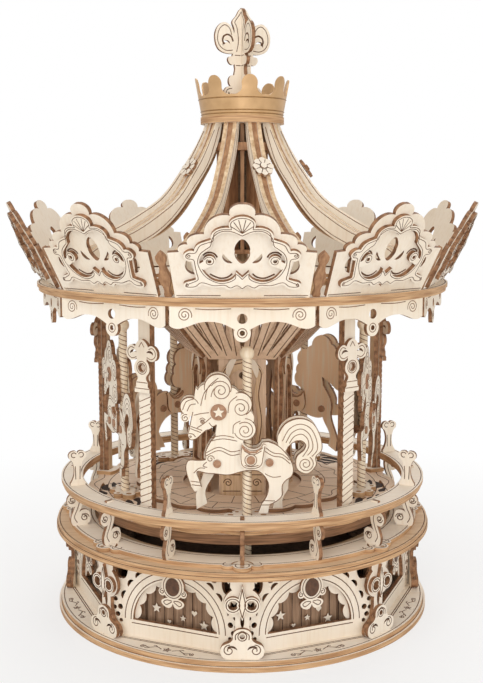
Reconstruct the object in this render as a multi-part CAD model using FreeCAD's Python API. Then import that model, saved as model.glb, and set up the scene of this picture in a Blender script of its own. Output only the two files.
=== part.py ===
import FreeCAD, Part
import math
import os

# Carousel music box in laser-cut plywood, millimetres.
# +Z is up, the front is -Y, and the origin is the centre of the foot ring's underside.
# An azimuth is measured from the front towards +X, so it is a turn about +Z.

os.makedirs("parts", exist_ok=True)
Vec = FreeCAD.Vector
ORIGIN = Vec(0, 0, 0)
UP = Vec(0, 0, 1)

# Sheet, play and counts
PLY = 2.0
RUNNING_PLAY = 0.05
SLIDING_PLAY = 0.3
SLOT_PLAY = 0.1
BASE_SIDES = 8
RAIL_POSTS = 16
RIDERS = 5
ROOF_BAYS = 10
RIDE_TURN = 2.0

# Base
FOOT_R = 102.3
FOOT_BORE_R = 84.0
FOOT_TOP = 2.5
PLINTH_R = 101.0
PLINTH_BORE_R = 70.0
PLINTH_TOP = 5.0
MOVEMENT_FLOOR_R = 80.0
MOVEMENT_FLOOR_TOP = 7.0
DECK_Z = 44.8
DECK_R = 102.7
DECK_BORE_R = 76.0
DECK_LAYER = 1.9
SCALLOP_Z = DECK_Z + 2 * DECK_LAYER
SCALLOP_TOP = SCALLOP_Z + PLY
PANEL_APOTHEM = 85.0
PANEL_HALF = 35.0
ARCH_Z = 13.5
ARCH_R = 22.8
PILASTER_R = 94.2
PILASTER_RING = 4.4
PILASTER_RING_Z = 31.6
CURTAIN_APOTHEM = 77.0
CURTAIN_HALF = 23.4
CURTAIN_TOP = 40.0

# Rail
RAIL_Z = 68.3
RAIL_TOP = RAIL_Z + 2 * PLY
RAIL_R = 99.6
RAIL_BORE_R = 88.0
POST_TOP = 91.0
POST_AXIS_R = 93.5
POST_NECK = 4.0

# Turntable and ride
FLOOR_TOP = 63.5
FLOOR_R = 85.5
FLOOR_LOBES = 20
LOBE_DEPTH = 3.3
STEP_R = 59.0
STEP_BORE_R = 33.0
FLOOR_RING_BOTTOM = 56.0
POLE_CIRCLE_R = 67.0
POLE_R = 2.25
POLE_FOOT_Z = 40.4
POLE_KNOB_Z = 147.0
POLE_KNOB_R = 3.5
HOOF_Z = 68.0
LIFT_TRAVEL = 9.0
COLLAR_TOP = 66.0
COLUMN_R = 79.5
COLUMN_BACK = 3.0
COLUMN_HALF = 3.5

# Centre drum
DRUM_APOTHEM = 22.0
DRUM_HALF = 12.5
DRUM_TOP = 139.0
FLARE_R = 26.0
FLARE_TOP_R = 57.0

# Roof
ROOF_Z = 173.8
ROOF_TOP = ROOF_Z + 2 * PLY
ROOF_R = 109.7
VALANCE_APOTHEM = 101.5
VALANCE_HALF = 32.6
CORNICE_APOTHEM = 103.0
CORNICE_TILT = 25.7
FIN_R = 105.4
RIB_CORE = 3.0
RIB_TOP_Z = 260.0
HUB_Z = 246.0
HUB_R = 17.8
HUB_CORE_R = 14.0
HUB_CORE_Z = 192.0
CROWN_Z = 263.5
CROWN_R = 21.6
CROWN_TOP_R = 25.2
CROWN_TOP_Z = 283.5
CROWN_WALL = 0.8
CROWN_POINTS = 8
CROWN_TURN = 9.0
FINIAL_TOP = 320.0
FINIAL_TURN = 22.0
FINIAL_LAP_Z = 293.0

# Movement
SHAFT_R = 3.0
SHAFT_FOOT_Z = 8.2
BEARING_PLATE_Z = 27.0
BEARING_PLATE_TOP = 29.0
BEARING_PLATE_R = 73.0
TRACK_INNER_R = 62.0
TRACK_OUTER_R = 72.0
TRACK_LAYER = 1.5
TRACK_CREST = 40.0
GEAR_Z = 21.0
GEAR_FACE = 4.0
GEAR_MODULE = 1.25
BACKLASH = 0.4
SHAFT_TEETH = 16
BARREL_TEETH = 48
TRAIN_TEETH = 10
FLY_MODULE = 0.8
FLY_WHEEL_TEETH = 36
FLY_TEETH = 9
FLY_WHEEL_Z = 12.0
ARBOR_R = 1.5
KEY_ARBOR_R = 2.0
BARREL_TO_CYLINDER = 200.0
BARREL_TO_GOVERNOR = -20.0
GOVERNOR_TO_FLY = -60.0
PRESSURE_ANGLE = math.radians(20)


def flat(s, t):
    return Vec(s, t, 0)


def edges_along(start, moves):
    """Edges of a path: a pair is a straight run, two pairs an arc by its middle, a list a smooth curve."""
    edges = []
    here = flat(*start)
    for move in moves:
        if isinstance(move, list):
            knots = [here] + [flat(*knot) for knot in move]
            curve = Part.BSplineCurve()
            curve.interpolate(knots)
            edges.append(curve.toShape())
            here = knots[-1]
        elif isinstance(move[0], tuple):
            end = flat(*move[1])
            edges.append(Part.Arc(here, flat(*move[0]), end).toShape())
            here = end
        else:
            end = flat(*move)
            edges.append(Part.LineSegment(here, end).toShape())
            here = end
    return edges, here


def straight(start, end):
    return Part.LineSegment(start, end).toShape()


def outline(start, *moves):
    """Closed wire along a path, ended with a straight run where it is still open."""
    edges, end = edges_along(start, moves)
    if end.distanceToPoint(flat(*start)) > 1e-6:
        edges.append(straight(end, flat(*start)))
    return Part.Wire(edges)


def mirrored(start, *moves):
    """Closed wire of a path on the right-hand side and its mirror image about s = 0."""
    edges, end = edges_along(start, moves)
    first = flat(*start)
    images = [edge.mirror(ORIGIN, Vec(1, 0, 0)) for edge in edges]
    if abs(end.x) > 1e-6:
        edges.append(straight(end, flat(-end.x, end.y)))
    if abs(first.x) > 1e-6:
        edges.append(straight(flat(-first.x, first.y), first))
    return Part.Wire(Part.__sortEdges__(edges + images))


def disc(s, t, radius):
    return Part.Wire(Part.Circle(flat(s, t), UP, radius).toShape())


def oval(s, t, half_width, half_height):
    """Closed oval of two smooth halves through its four extremes."""
    a, b = 0.72 * half_width, 0.7 * half_height
    return outline((s + half_width, t),
                   [(s + a, t + b), (s, t + half_height), (s - a, t + b), (s - half_width, t)],
                   [(s - a, t - b), (s, t - half_height), (s + a, t - b), (s + half_width, t)])


def leaf(start, end, left_bulge, right_bulge):
    """Leaf or crescent between two points: two arcs, each standing off the chord to its left."""
    chord = flat(*end) - flat(*start)
    middle = (flat(*end) + flat(*start)) * 0.5
    normal = Vec(-chord.y, chord.x, 0).normalize()
    mid_left = middle + normal * left_bulge
    mid_right = middle + normal * right_bulge
    return outline(start, ((mid_left.x, mid_left.y), end), ((mid_right.x, mid_right.y), start))


def heart(s, t, size):
    """Heart with its point down, its size being its height."""
    h = size / 2
    return outline((s, t - h), [(s + 0.95 * h, t + 0.15 * h), (s + 0.8 * h, t + 0.9 * h), (s, t + 0.45 * h)],
                   [(s - 0.8 * h, t + 0.9 * h), (s - 0.95 * h, t + 0.15 * h), (s, t - h)])


def both_sides(make, *spots):
    """Wires of a shape on the right-hand side together with their mirror images."""
    wires = [make(*spot) for spot in spots]
    return wires + [wire.mirror(ORIGIN, Vec(1, 0, 0)) for wire in wires]


def plate(outer, holes=(), thickness=PLY):
    """Flat plate of an outline with holes, standing up from its own plane."""
    face = Part.makeFace([outer] + list(holes), "Part::FaceMakerBullseye")
    return face.extrude(UP * thickness)


def annulus(outer_r, inner_r, bottom, top, holes=()):
    solid = plate(disc(0, 0, outer_r), [disc(0, 0, inner_r)] + list(holes), top - bottom)
    solid.translate(UP * bottom)
    return solid


def joined(shapes):
    """One solid from overlapping ones."""
    return shapes[0].multiFuse(shapes[1:]).removeSplitter().Solids[0]


def moved(shape, offset):
    copy = shape.copy()
    copy.translate(offset)
    return copy


def spun(shape, azimuth):
    copy = shape.copy()
    copy.rotate(ORIGIN, UP, azimuth)
    return copy


def spun_all(shape, count, first=0.0):
    return [spun(shape, first + 360.0 / count * k) for k in range(count)]


def facing_out(shape, radius, tilt=0.0, foot_z=0.0):
    """Stand a plate at the front, its back on a radius and its top leaning outwards by the tilt."""
    copy = shape.copy()
    copy.rotate(ORIGIN, Vec(1, 0, 0), 90 + tilt)
    copy.translate(Vec(0, -radius, foot_z))
    return copy


def edge_on(shape, thickness):
    """Stand a plate drawn in radius and height on the front's radial plane, about that plane."""
    turn = FreeCAD.Rotation(Vec(0, -1, 0), UP, Vec(-1, 0, 0), "XYZ")
    copy = shape.copy()
    copy.Placement = FreeCAD.Placement(Vec(thickness / 2, 0, 0), turn)
    return copy


def rod(radius, bottom, top, place=(0, 0)):
    return Part.makeCylinder(radius, top - bottom, Vec(place[0], place[1], bottom))


def tube(outer_r, inner_r, bottom, top, place=(0, 0)):
    return moved(annulus(outer_r, inner_r, bottom, top), Vec(place[0], place[1], 0))


def save(node, solids):
    """Write one node's solids and print their number and volume."""
    shape = Part.makeCompound(solids)
    bad = [k for k, solid in enumerate(shape.Solids) if not solid.isValid() or solid.Volume <= 0]
    shape.exportStep("parts/" + node + ".step")
    print(node, len(shape.Solids), round(shape.Volume, 1), "bad " + str(bad) if bad else "")


# Base

def facade_panel():
    """Panel with a half-round arch, its spandrels pierced into a lattice of hearts, curls and rounds."""
    opening = outline((ARCH_R, ARCH_Z), ((0, ARCH_Z + ARCH_R), (-ARCH_R, ARCH_Z)))
    curl_r, curl_span = 30.2, 4.6

    def polar(angle):
        turn = math.radians(angle)
        return (curl_r * math.cos(turn), ARCH_Z + curl_r * math.sin(turn))

    curls = [(polar(angle - curl_span), polar(angle + curl_span), -0.2, -1.9) for angle in (24, 38, 50.5, 62)]
    holes = both_sides(leaf, *curls)
    holes += both_sides(heart, (28.9, 37.9, 7.4), (21.4, 41.0, 3.8), (31.9, 28.6, 4.4))
    holes += both_sides(disc, (24.6, 41.7, 1.2), (33.3, 41.9, 1.0), (33.2, 33.0, 1.1), (9.6, 42.4, 0.9),
                        (32.6, 23.0, 1.2), (29.9, 19.2, 1.4), (33.0, 18.6, 1.1), (31.4, 15.2, 1.3),
                        (33.0, 11.8, 1.1), (29.6, 12.2, 1.0))
    border = outline((-PANEL_HALF, PLINTH_TOP), (PANEL_HALF, PLINTH_TOP), (PANEL_HALF, DECK_Z),
                     (-PANEL_HALF, DECK_Z))
    return facing_out(plate(border, [opening] + holes), PANEL_APOTHEM)


def arch_trim():
    """Half-round band behind the arch, scalloped along its inner edge."""
    band_r, tip_r, notch_r, scallops = 26.0, 19.4, 21.4, 9
    step = math.pi / scallops

    def polar(radius, angle):
        return (radius * math.cos(angle), ARCH_Z + radius * math.sin(angle))

    moves = [((0, ARCH_Z + band_r), (-band_r, ARCH_Z)), (-notch_r, ARCH_Z)]
    for k in range(scallops):
        moves.append((polar(tip_r, math.pi - step * (k + 0.5)), polar(notch_r, math.pi - step * (k + 1))))
    return facing_out(plate(outline((band_r, ARCH_Z), *moves)), PANEL_APOTHEM - PLY)


def curtain():
    """Pleated curtain: one zigzag sheet, standing on the movement floor."""
    pleats, depth, sheet = 9, 2.4, 0.8
    half_pitch = CURTAIN_HALF / pleats
    front = [(-CURTAIN_HALF + half_pitch * k, depth * (k % 2)) for k in range(2 * pleats + 1)]
    back = [(s, t + sheet) for s, t in reversed(front)]
    points = front + back
    zigzag = plate(outline(points[0], *points[1:]), thickness=CURTAIN_TOP - MOVEMENT_FLOOR_TOP)
    return moved(zigzag, Vec(0, -CURTAIN_APOTHEM - depth, MOVEMENT_FLOOR_TOP))


def pilaster():
    """Back plate of a pilaster, open inside the two rings of its front layer."""
    border = mirrored((0, PLINTH_TOP), (8, PLINTH_TOP),
                      [(10.4, 7.6), (9.0, 11.4), (6.0, 13.0), (4.6, 15.0)], (3.4, 20), (3.4, 25),
                      [(7.0, 27.0), (9.0, 31.6), (7.4, 36.0), (4.8, 38.4)], (5.75, 39.6), (5.75, DECK_Z))
    holes = both_sides(disc, (PILASTER_RING, PILASTER_RING_Z, 2.4))
    holes += [leaf((0, 19.0), (0, 27.5), 1.0, -1.0)]
    return facing_out(plate(border, holes), PILASTER_R)


def pilaster_scrolls():
    """Front layer of a pilaster: two rings on a lozenge, and a lobed foot."""
    lozenge = plate(mirrored((0, 24.0), (2.6, PILASTER_RING_Z), (0, 41.5)))
    hoops = [plate(disc(s, PILASTER_RING_Z, 4.0), [disc(s, PILASTER_RING_Z, 2.4)])
             for s in (PILASTER_RING, -PILASTER_RING)]
    foot = mirrored((0, PLINTH_TOP), (7.0, PLINTH_TOP), [(10.2, 7.4), (9.6, 11.4), (6.4, 13.0), (4.4, 15.2)],
                    [(3.8, 18.4), (0, 20.0)])
    cuts = [disc(0, 16.2, 1.3)] + both_sides(leaf, ((2.4, 9.4), (7.4, 10.4), 1.8, 0.7))
    layers = [joined([lozenge] + hoops), plate(foot, cuts)]
    return [facing_out(layer, PILASTER_R + PLY) for layer in layers]


def medallion():
    """Oval boss with side curls over the top of an arch, a bow under it, its face bare."""
    boss_z, sheet = ARCH_Z + ARCH_R - 2.0, 1.5
    boss = [plate(oval(0, boss_z, 6.0, 6.6), thickness=sheet)]
    boss += [plate(disc(hand * 5.6, boss_z - 3.0, 2.0), thickness=sheet) for hand in (1, -1)]
    bow = mirrored((0, boss_z - 5.8), [(3.4, boss_z - 6.0), (6.2, boss_z - 8.0), (4.0, boss_z - 10.6),
                                       (0, boss_z - 8.4)])
    return facing_out(joined(boss + [plate(bow, thickness=sheet)]), PANEL_APOTHEM + PLY)


def scallop_ring():
    """White plate on the deck with a three-lobed tongue over every pilaster."""
    ring = plate(disc(0, 0, 96.0), [disc(0, 0, 82.0)])
    tongue = joined([plate(disc(0, -96.4, 4.4)), plate(disc(6.8, -94.2, 3.4)), plate(disc(-6.8, -94.2, 3.4))])
    whole = joined([ring] + spun_all(tongue, BASE_SIDES))
    slots = both_sides(leaf, ((1.4, -90.2), (5.6, -95.2), 1.1, 0.1)) + [disc(0, -98.2, 1.1)]
    cutters = [spun(plate(slot), 360.0 / BASE_SIDES * k) for slot in slots for k in range(BASE_SIDES)]
    return moved(whole.cut(Part.makeCompound(cutters)).Solids[0], UP * SCALLOP_Z)


def rail_post(tall):
    """Radial plate: an S-scroll bracket and a neck through the handrail, with a cloud-topped post if tall."""
    half = POST_NECK / 2
    axis = POST_AXIS_R
    stub_top = RAIL_TOP + 0.8
    head = [(axis + half, stub_top), (axis - half, stub_top)]
    if tall:
        head = [(axis + half, RAIL_TOP), (axis + 4, RAIL_TOP), (axis + 4, RAIL_TOP + 1.2),
                [(axis + 2.2, 77.0), (axis + 1.9, 82.0), (axis + 3.2, 85.8)],
                ((axis + 4.6, 88.8), (axis + 2.2, POST_TOP - 0.3)),
                ((axis + 0.9, POST_TOP - 0.4), (axis, 89.6)),
                ((axis - 0.9, POST_TOP - 0.4), (axis - 2.2, POST_TOP - 0.3)),
                ((axis - 4.6, 88.8), (axis - 3.2, 85.8)),
                [(axis - 1.9, 82.0), (axis - 2.2, 77.0), (axis - 4, RAIL_TOP + 1.2)],
                (axis - 4, RAIL_TOP), (axis - half, RAIL_TOP)]
    border = outline((88.8, SCALLOP_TOP), (96.6, SCALLOP_TOP),
                     [(97.6, 53.6), (96.6, 57.8), (95.2, 61.0)],
                     [(97.4, 60.8), (99.3, 62.8), (99.0, 66.2), (97.0, 67.8)], (axis + half, RAIL_Z),
                     *head, (axis - half, RAIL_Z),
                     [(91.0, 65.0), (91.8, 61.0), (93.4, 57.4)],
                     [(91.4, 58.8), (88.4, 58.2), (87.2, 55.0), (87.6, 52.2)])
    curls = [leaf((89.4, 53.2), (92.2, 56.4), 1.9, 1.0), leaf((97.6, 66.2), (95.6, 63.4), 1.4, 0.7)]
    return edge_on(plate(border, curls), PLY)


def handrail(bottom, outer_r):
    half_r = (POST_NECK + SLOT_PLAY) / 2
    half_s = (PLY + SLOT_PLAY) / 2
    inner, outer = -POST_AXIS_R + half_r, -POST_AXIS_R - half_r
    slot = outline((-half_s, inner), (half_s, inner), (half_s, outer), (-half_s, outer))
    return annulus(outer_r, RAIL_BORE_R, bottom, bottom + PLY, spun_all(slot, RAIL_POSTS))


def build_base():
    side = 360.0 / BASE_SIDES
    save("base_foot_ring", [annulus(FOOT_R, FOOT_BORE_R, 0, FOOT_TOP)])
    save("base_plinth_plate", [annulus(PLINTH_R, PLINTH_BORE_R, FOOT_TOP, PLINTH_TOP)])
    save("facade_panels", spun_all(facade_panel(), BASE_SIDES, side / 2))
    save("arch_trims", spun_all(arch_trim(), BASE_SIDES, side / 2))
    save("curtains", spun_all(curtain(), BASE_SIDES, side / 2))
    save("arch_medallions", spun_all(medallion(), BASE_SIDES, side / 2))
    save("pilasters", spun_all(pilaster(), BASE_SIDES))
    save("pilaster_scrolls", [copy for layer in pilaster_scrolls() for copy in spun_all(layer, BASE_SIDES)])
    save("deck_rings", [annulus(DECK_R, DECK_BORE_R, DECK_Z, DECK_Z + DECK_LAYER),
                        annulus(DECK_R - 0.6, DECK_BORE_R, DECK_Z + DECK_LAYER, SCALLOP_Z)])
    save("deck_scallop_ring", [scallop_ring()])
    tall_posts = spun_all(rail_post(True), BASE_SIDES, side / 2)
    save("rail_posts", spun_all(rail_post(False), BASE_SIDES) + tall_posts)
    save("handrail_rings", [handrail(RAIL_Z, RAIL_R - 0.8), handrail(RAIL_Z + PLY, RAIL_R)])


# Movement inside the base

BARREL_AXIS = (0.0, GEAR_MODULE * (SHAFT_TEETH + BARREL_TEETH) / 2)


def stepped(start, angle, distance):
    """Point at a distance from another, along an angle from +X."""
    turn = math.radians(angle)
    return (start[0] + distance * math.cos(turn), start[1] + distance * math.sin(turn))


TRAIN_CENTRES = GEAR_MODULE * (BARREL_TEETH + TRAIN_TEETH) / 2
CYLINDER_AXIS = stepped(BARREL_AXIS, BARREL_TO_CYLINDER, TRAIN_CENTRES)
GOVERNOR_AXIS = stepped(BARREL_AXIS, BARREL_TO_GOVERNOR, TRAIN_CENTRES)
FLY_AXIS = stepped(GOVERNOR_AXIS, GOVERNOR_TO_FLY, FLY_MODULE * (FLY_WHEEL_TEETH + FLY_TEETH) / 2)


def involute(angle):
    return math.tan(angle) - angle


def gear(teeth, module, phase, bottom, top, bore_r, place):
    """Spur gear with a tooth centred on the phase angle, its flanks involute above the base circle."""
    pitch_r = teeth * module / 2
    base_r = pitch_r * math.cos(PRESSURE_ANGLE)
    root_r = pitch_r - 1.2 * module
    tip_r = pitch_r + 0.9 * module
    half_pitch_angle = (math.pi * module / 2 - BACKLASH * module) / (2 * pitch_r)

    def half_angle(radius):
        slope = math.acos(min(1.0, base_r / radius))
        return half_pitch_angle + involute(PRESSURE_ANGLE) - involute(slope)

    flank = [(radius, half_angle(max(radius, base_r))) for radius in (root_r, pitch_r, tip_r)]
    if base_r > root_r:
        flank.insert(1, (base_r, half_angle(base_r)))
    points = []
    for k in range(teeth):
        centre = math.radians(phase + 360.0 / teeth * k)
        angles = [(radius, centre - half) for radius, half in flank]
        angles += [(radius, centre + half) for radius, half in reversed(flank)]
        points += [Vec(radius * math.cos(angle), radius * math.sin(angle), 0) for radius, angle in angles]
    blank = plate(Part.makePolygon(points + points[:1]), [disc(0, 0, bore_r)], top - bottom)
    return moved(blank, Vec(place[0], place[1], bottom))


def meshed_phase(direction, phase, teeth, mate_teeth):
    """Phase of the mate lying in a direction from a gear of known phase."""
    pitch = 360.0 / teeth
    lead = (phase - direction) % pitch
    return direction + 180 - lead * teeth / mate_teeth + 180.0 / mate_teeth


def wave_track():
    """Ring under the poles, stacked from ply sectors into two crests and two troughs."""
    base_top = BEARING_PLATE_TOP + PLY
    middle = TRACK_CREST - LIFT_TRAVEL / 2
    layers = [annulus(TRACK_OUTER_R, TRACK_INNER_R, BEARING_PLATE_TOP, base_top)]
    bottom = base_top
    while bottom < TRACK_CREST - 0.01:
        height = (bottom + TRACK_LAYER / 2 - middle) / (LIFT_TRAVEL / 2)
        half = math.degrees(math.acos(max(-1.0, min(1.0, height)))) / 2
        start, end = math.radians(-half), math.radians(half)

        def polar(radius, angle):
            return (radius * math.cos(angle), radius * math.sin(angle))

        sector = outline(polar(TRACK_INNER_R, start), polar(TRACK_OUTER_R, start),
                         (polar(TRACK_OUTER_R, 0), polar(TRACK_OUTER_R, end)), polar(TRACK_INNER_R, end),
                         (polar(TRACK_INNER_R, 0), polar(TRACK_INNER_R, start)))
        layer = moved(plate(sector, thickness=TRACK_LAYER), UP * bottom)
        layers += spun_all(layer, 2)
        bottom += TRACK_LAYER
    return layers


def music_comb():
    """Steel comb: tuned teeth pointing at the pinned cylinder from a block on the bedplate."""
    teeth, reach, root, tip, bottom, top = 10, 8.2, 17.0, 24.0, 9.5, 20.0
    pitch = (top - bottom) / teeth
    points = [(tip, bottom), (tip, top)]
    for k in range(teeth):
        upper = top - pitch * k
        points += [(reach, upper), (reach, upper - 0.6 * pitch), (root, upper - 0.6 * pitch),
                   (root, upper - pitch)]
    comb = edge_on(plate(outline(points[0], *points[1:-1])), PLY)
    block = Part.makeBox(8, 6, top - bottom + 1, Vec(-9, -tip, bottom - 1))
    turned = [spun(solid, BARREL_TO_CYLINDER + 90) for solid in (comb, block)]
    return [moved(solid, Vec(CYLINDER_AXIS[0], CYLINDER_AXIS[1], 0)) for solid in turned]


def pinned_cylinder():
    """Brass cylinder with rows of pins and its pinion, on one arbor."""
    radius, bottom, rows, pins = 6.0, 9.0, 5, 6
    body = rod(radius, bottom, GEAR_Z, CYLINDER_AXIS)
    pin_solids = []
    for row in range(rows):
        for k in range(pins):
            pin = Part.makeCylinder(0.4, radius + 0.8, Vec(0, 0, bottom + 2 + 2 * row), Vec(1, 0, 0))
            turned = spun(pin, 360.0 / pins * (k + 0.37 * row))
            pin_solids.append(moved(turned, Vec(CYLINDER_AXIS[0], CYLINDER_AXIS[1], 0)))
    arbor = rod(ARBOR_R, PLINTH_TOP + 0.5, BEARING_PLATE_TOP - 0.5, CYLINDER_AXIS)
    return joined([body, arbor] + pin_solids)


def governor_fly(phase):
    """Air-brake fly: two blades and a pinion on a fine arbor."""
    arbor = rod(ARBOR_R, PLINTH_TOP + 0.5, BEARING_PLATE_TOP - 0.5, FLY_AXIS)
    blades = Part.makeBox(13, 0.8, 8, Vec(FLY_AXIS[0] - 6.5, FLY_AXIS[1] - 0.4, 16))
    pinion = gear(FLY_TEETH, FLY_MODULE, phase, FLY_WHEEL_Z, FLY_WHEEL_Z + PLY, ARBOR_R / 2, FLY_AXIS)
    return joined([arbor, blades, pinion])


def winding_key():
    """Flat two-winged key in the hollow under the base, on the arbor that winds the mainspring."""
    x, y = BARREL_AXIS
    arbor = rod(KEY_ARBOR_R, 1.2, GEAR_Z + GEAR_FACE + 1, BARREL_AXIS)
    hub = rod(4.0, 1.2, 4.4, BARREL_AXIS)
    wing = plate(outline((3, -1), (9, -1), [(14, -2.4), (15.6, 0), (14, 2.4), (9, 1)], (3, 1)), thickness=3.0)
    wings = [moved(spun(wing, turn), Vec(x, y, 1.3)) for turn in (0, 180)]
    return joined([arbor, hub] + wings)


def build_movement():
    arbor_holes = [disc(axis[0], axis[1], ARBOR_R + RUNNING_PLAY)
                   for axis in (CYLINDER_AXIS, GOVERNOR_AXIS, FLY_AXIS)]
    key_hole = disc(BARREL_AXIS[0], BARREL_AXIS[1], KEY_ARBOR_R + RUNNING_PLAY)
    floor = plate(disc(0, 0, MOVEMENT_FLOOR_R), arbor_holes + [key_hole])
    save("movement_floor", [moved(floor, UP * PLINTH_TOP)])
    bearing_plate = plate(disc(0, 0, BEARING_PLATE_R), arbor_holes + [disc(0, 0, SHAFT_R + RUNNING_PLAY)])
    save("bearing_plate", [moved(bearing_plate, UP * BEARING_PLATE_Z)])
    legs = [rod(3.0, MOVEMENT_FLOOR_TOP, BEARING_PLATE_Z, (68 * math.sin(math.radians(azimuth)),
                                                           -68 * math.cos(math.radians(azimuth))))
            for azimuth in (20, 80, 140, 220, 280, 340)]
    save("plate_legs", legs)
    save("wave_track", wave_track())
    flange = rod(12.0, MOVEMENT_FLOOR_TOP, 9.5)
    barrel_of_bearing = rod(6.0, MOVEMENT_FLOOR_TOP, 18.0)
    bore = rod(SHAFT_R + RUNNING_PLAY, 8.0, 18.0)
    save("thrust_bearing", [joined([flange, barrel_of_bearing]).cut(bore).Solids[0]])
    bed = Part.makeBox(38, 16, 1.5, Vec(-10, -8, 0))
    bed.rotate(ORIGIN, UP, BARREL_TO_CYLINDER)
    bed.translate(Vec(CYLINDER_AXIS[0], CYLINDER_AXIS[1], MOVEMENT_FLOOR_TOP))
    save("movement_bedplate", [bed.cut(rod(ARBOR_R + SLIDING_PLAY, 0, 20, CYLINDER_AXIS)).Solids[0]])
    save("music_comb", music_comb())

    gear_top = GEAR_Z + GEAR_FACE
    barrel_phase = 90.0
    shaft_phase = meshed_phase(-90, barrel_phase, BARREL_TEETH, SHAFT_TEETH)
    save("shaft_pinion", [gear(SHAFT_TEETH, GEAR_MODULE, shaft_phase, GEAR_Z, gear_top,
                              SHAFT_R + RUNNING_PLAY, (0, 0))])
    save("barrel_gear", [gear(BARREL_TEETH, GEAR_MODULE, barrel_phase, GEAR_Z, gear_top,
                              KEY_ARBOR_R + RUNNING_PLAY, BARREL_AXIS)])
    save("mainspring_barrel", [tube(19.0, KEY_ARBOR_R + RUNNING_PLAY, 9.0, GEAR_Z, BARREL_AXIS)])
    save("winding_key", [winding_key()])
    cylinder_phase = meshed_phase(BARREL_TO_CYLINDER, barrel_phase, BARREL_TEETH, TRAIN_TEETH)
    save("music_cylinder", [pinned_cylinder()])
    save("cylinder_pinion", [gear(TRAIN_TEETH, GEAR_MODULE, cylinder_phase, GEAR_Z, gear_top, ARBOR_R,
                                  CYLINDER_AXIS)])
    governor_phase = meshed_phase(BARREL_TO_GOVERNOR, barrel_phase, BARREL_TEETH, TRAIN_TEETH)
    arbor = rod(ARBOR_R, PLINTH_TOP + 0.5, BEARING_PLATE_TOP - 0.5, GOVERNOR_AXIS)
    pinion = gear(TRAIN_TEETH, GEAR_MODULE, governor_phase, GEAR_Z, gear_top, ARBOR_R / 2, GOVERNOR_AXIS)
    wheel = gear(FLY_WHEEL_TEETH, FLY_MODULE, 0, FLY_WHEEL_Z, FLY_WHEEL_Z + PLY, ARBOR_R / 2, GOVERNOR_AXIS)
    save("governor_wheel", [joined([arbor, pinion, wheel])])
    save("governor_fly", [governor_fly(meshed_phase(GOVERNOR_TO_FLY, 0, FLY_WHEEL_TEETH, FLY_TEETH))])


# Turntable, columns and drum

RIDER_AZIMUTHS = [360.0 / RIDERS * k for k in range(RIDERS)]


def rider_lift(azimuth):
    """Height of a pole above its lowest point, on the two-crested track."""
    return LIFT_TRAVEL / 2 * (1 - math.cos(math.radians(2 * azimuth)))


def lobed_rim(peak_r):
    """Round outline of shallow lobes, one of them at the front."""

    def polar(radius, lobe):
        angle = math.radians(360.0 / FLOOR_LOBES * lobe)
        return (radius * math.sin(angle), -radius * math.cos(angle))

    dip_r = peak_r - LOBE_DEPTH
    lobes = [(polar(peak_r, k), polar(dip_r, k + 0.5)) for k in range(FLOOR_LOBES)]
    return outline(polar(dip_r, -0.5), *lobes)


def floor_plate():
    """Floor with a lobed rim, the pole holes and curved slots along the rim."""
    pole_hole = disc(0, -POLE_CIRCLE_R, POLE_R + SLIDING_PLAY)
    slots = both_sides(leaf, ((9, -78.6), (26, -73.4), 1.9, -0.8), ((13.5, -63.0), (22, -59.6), 1.4, -0.6),
                       ((8.6, -71.6), (17.0, -68.6), 1.3, -0.5))
    holes = [disc(0, 0, SHAFT_R + RUNNING_PLAY)]
    for azimuth in RIDER_AZIMUTHS:
        holes += [spun(wire, azimuth) for wire in [pole_hole] + slots]
    return moved(spun(plate(lobed_rim(FLOOR_R), holes), RIDE_TURN), UP * (FLOOR_TOP - PLY))


def inner_floor():
    """Raised lobed plate inside the ring of poles, round the centre drum."""
    return moved(spun(plate(lobed_rim(STEP_R), [disc(0, 0, STEP_BORE_R)]), RIDE_TURN), UP * FLOOR_TOP)


def under_plate():
    pole_holes = spun_all(disc(0, -POLE_CIRCLE_R, POLE_R + SLIDING_PLAY), RIDERS, RIDE_TURN)
    bottom = FLOOR_TOP - 2 * PLY
    return annulus(FLOOR_R - 1, SHAFT_R + RUNNING_PLAY, bottom, bottom + PLY, pole_holes)


def collars():
    """Scrolled plate round every pole and a socket round every column foot."""
    lobes = [(0, 0, 5.6), (8.0, 0, 3.4), (-8.0, 0, 3.4), (4.6, 4.8, 2.6), (-4.6, 4.8, 2.6), (4.6, -4.8, 2.6),
             (-4.6, -4.8, 2.6)]
    height = COLLAR_TOP - FLOOR_TOP
    cuts = [disc(0, 0, POLE_R + SLIDING_PLAY)]
    cuts += both_sides(disc, (8.2, 0, 1.5), (4.9, 5.0, 1.1), (4.9, -5.0, 1.1))
    solid = joined([plate(disc(*lobe), thickness=height) for lobe in lobes])
    scroll = solid.cut(Part.makeCompound([plate(cut, thickness=height) for cut in cuts])).Solids[0]
    ring = moved(scroll, Vec(0, -POLE_CIRCLE_R, FLOOR_TOP))
    inner, outer = -COLUMN_R, -COLUMN_R - COLUMN_BACK - PLY
    hole = outline((-4, inner + 0.2), (4, inner + 0.2), (4, outer - 0.2), (-4, outer - 0.2))
    border = outline((-6.5, inner + 2.6), ((0, inner + 4.4), (6.5, inner + 2.6)), (6.5, outer - 0.9),
                     (-6.5, outer - 0.9))
    socket = moved(plate(border, [hole]), UP * FLOOR_TOP)
    half_step = 180.0 / RIDERS
    return spun_all(ring, RIDERS, RIDE_TURN) + spun_all(socket, RIDERS, RIDE_TURN + half_step)


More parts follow.
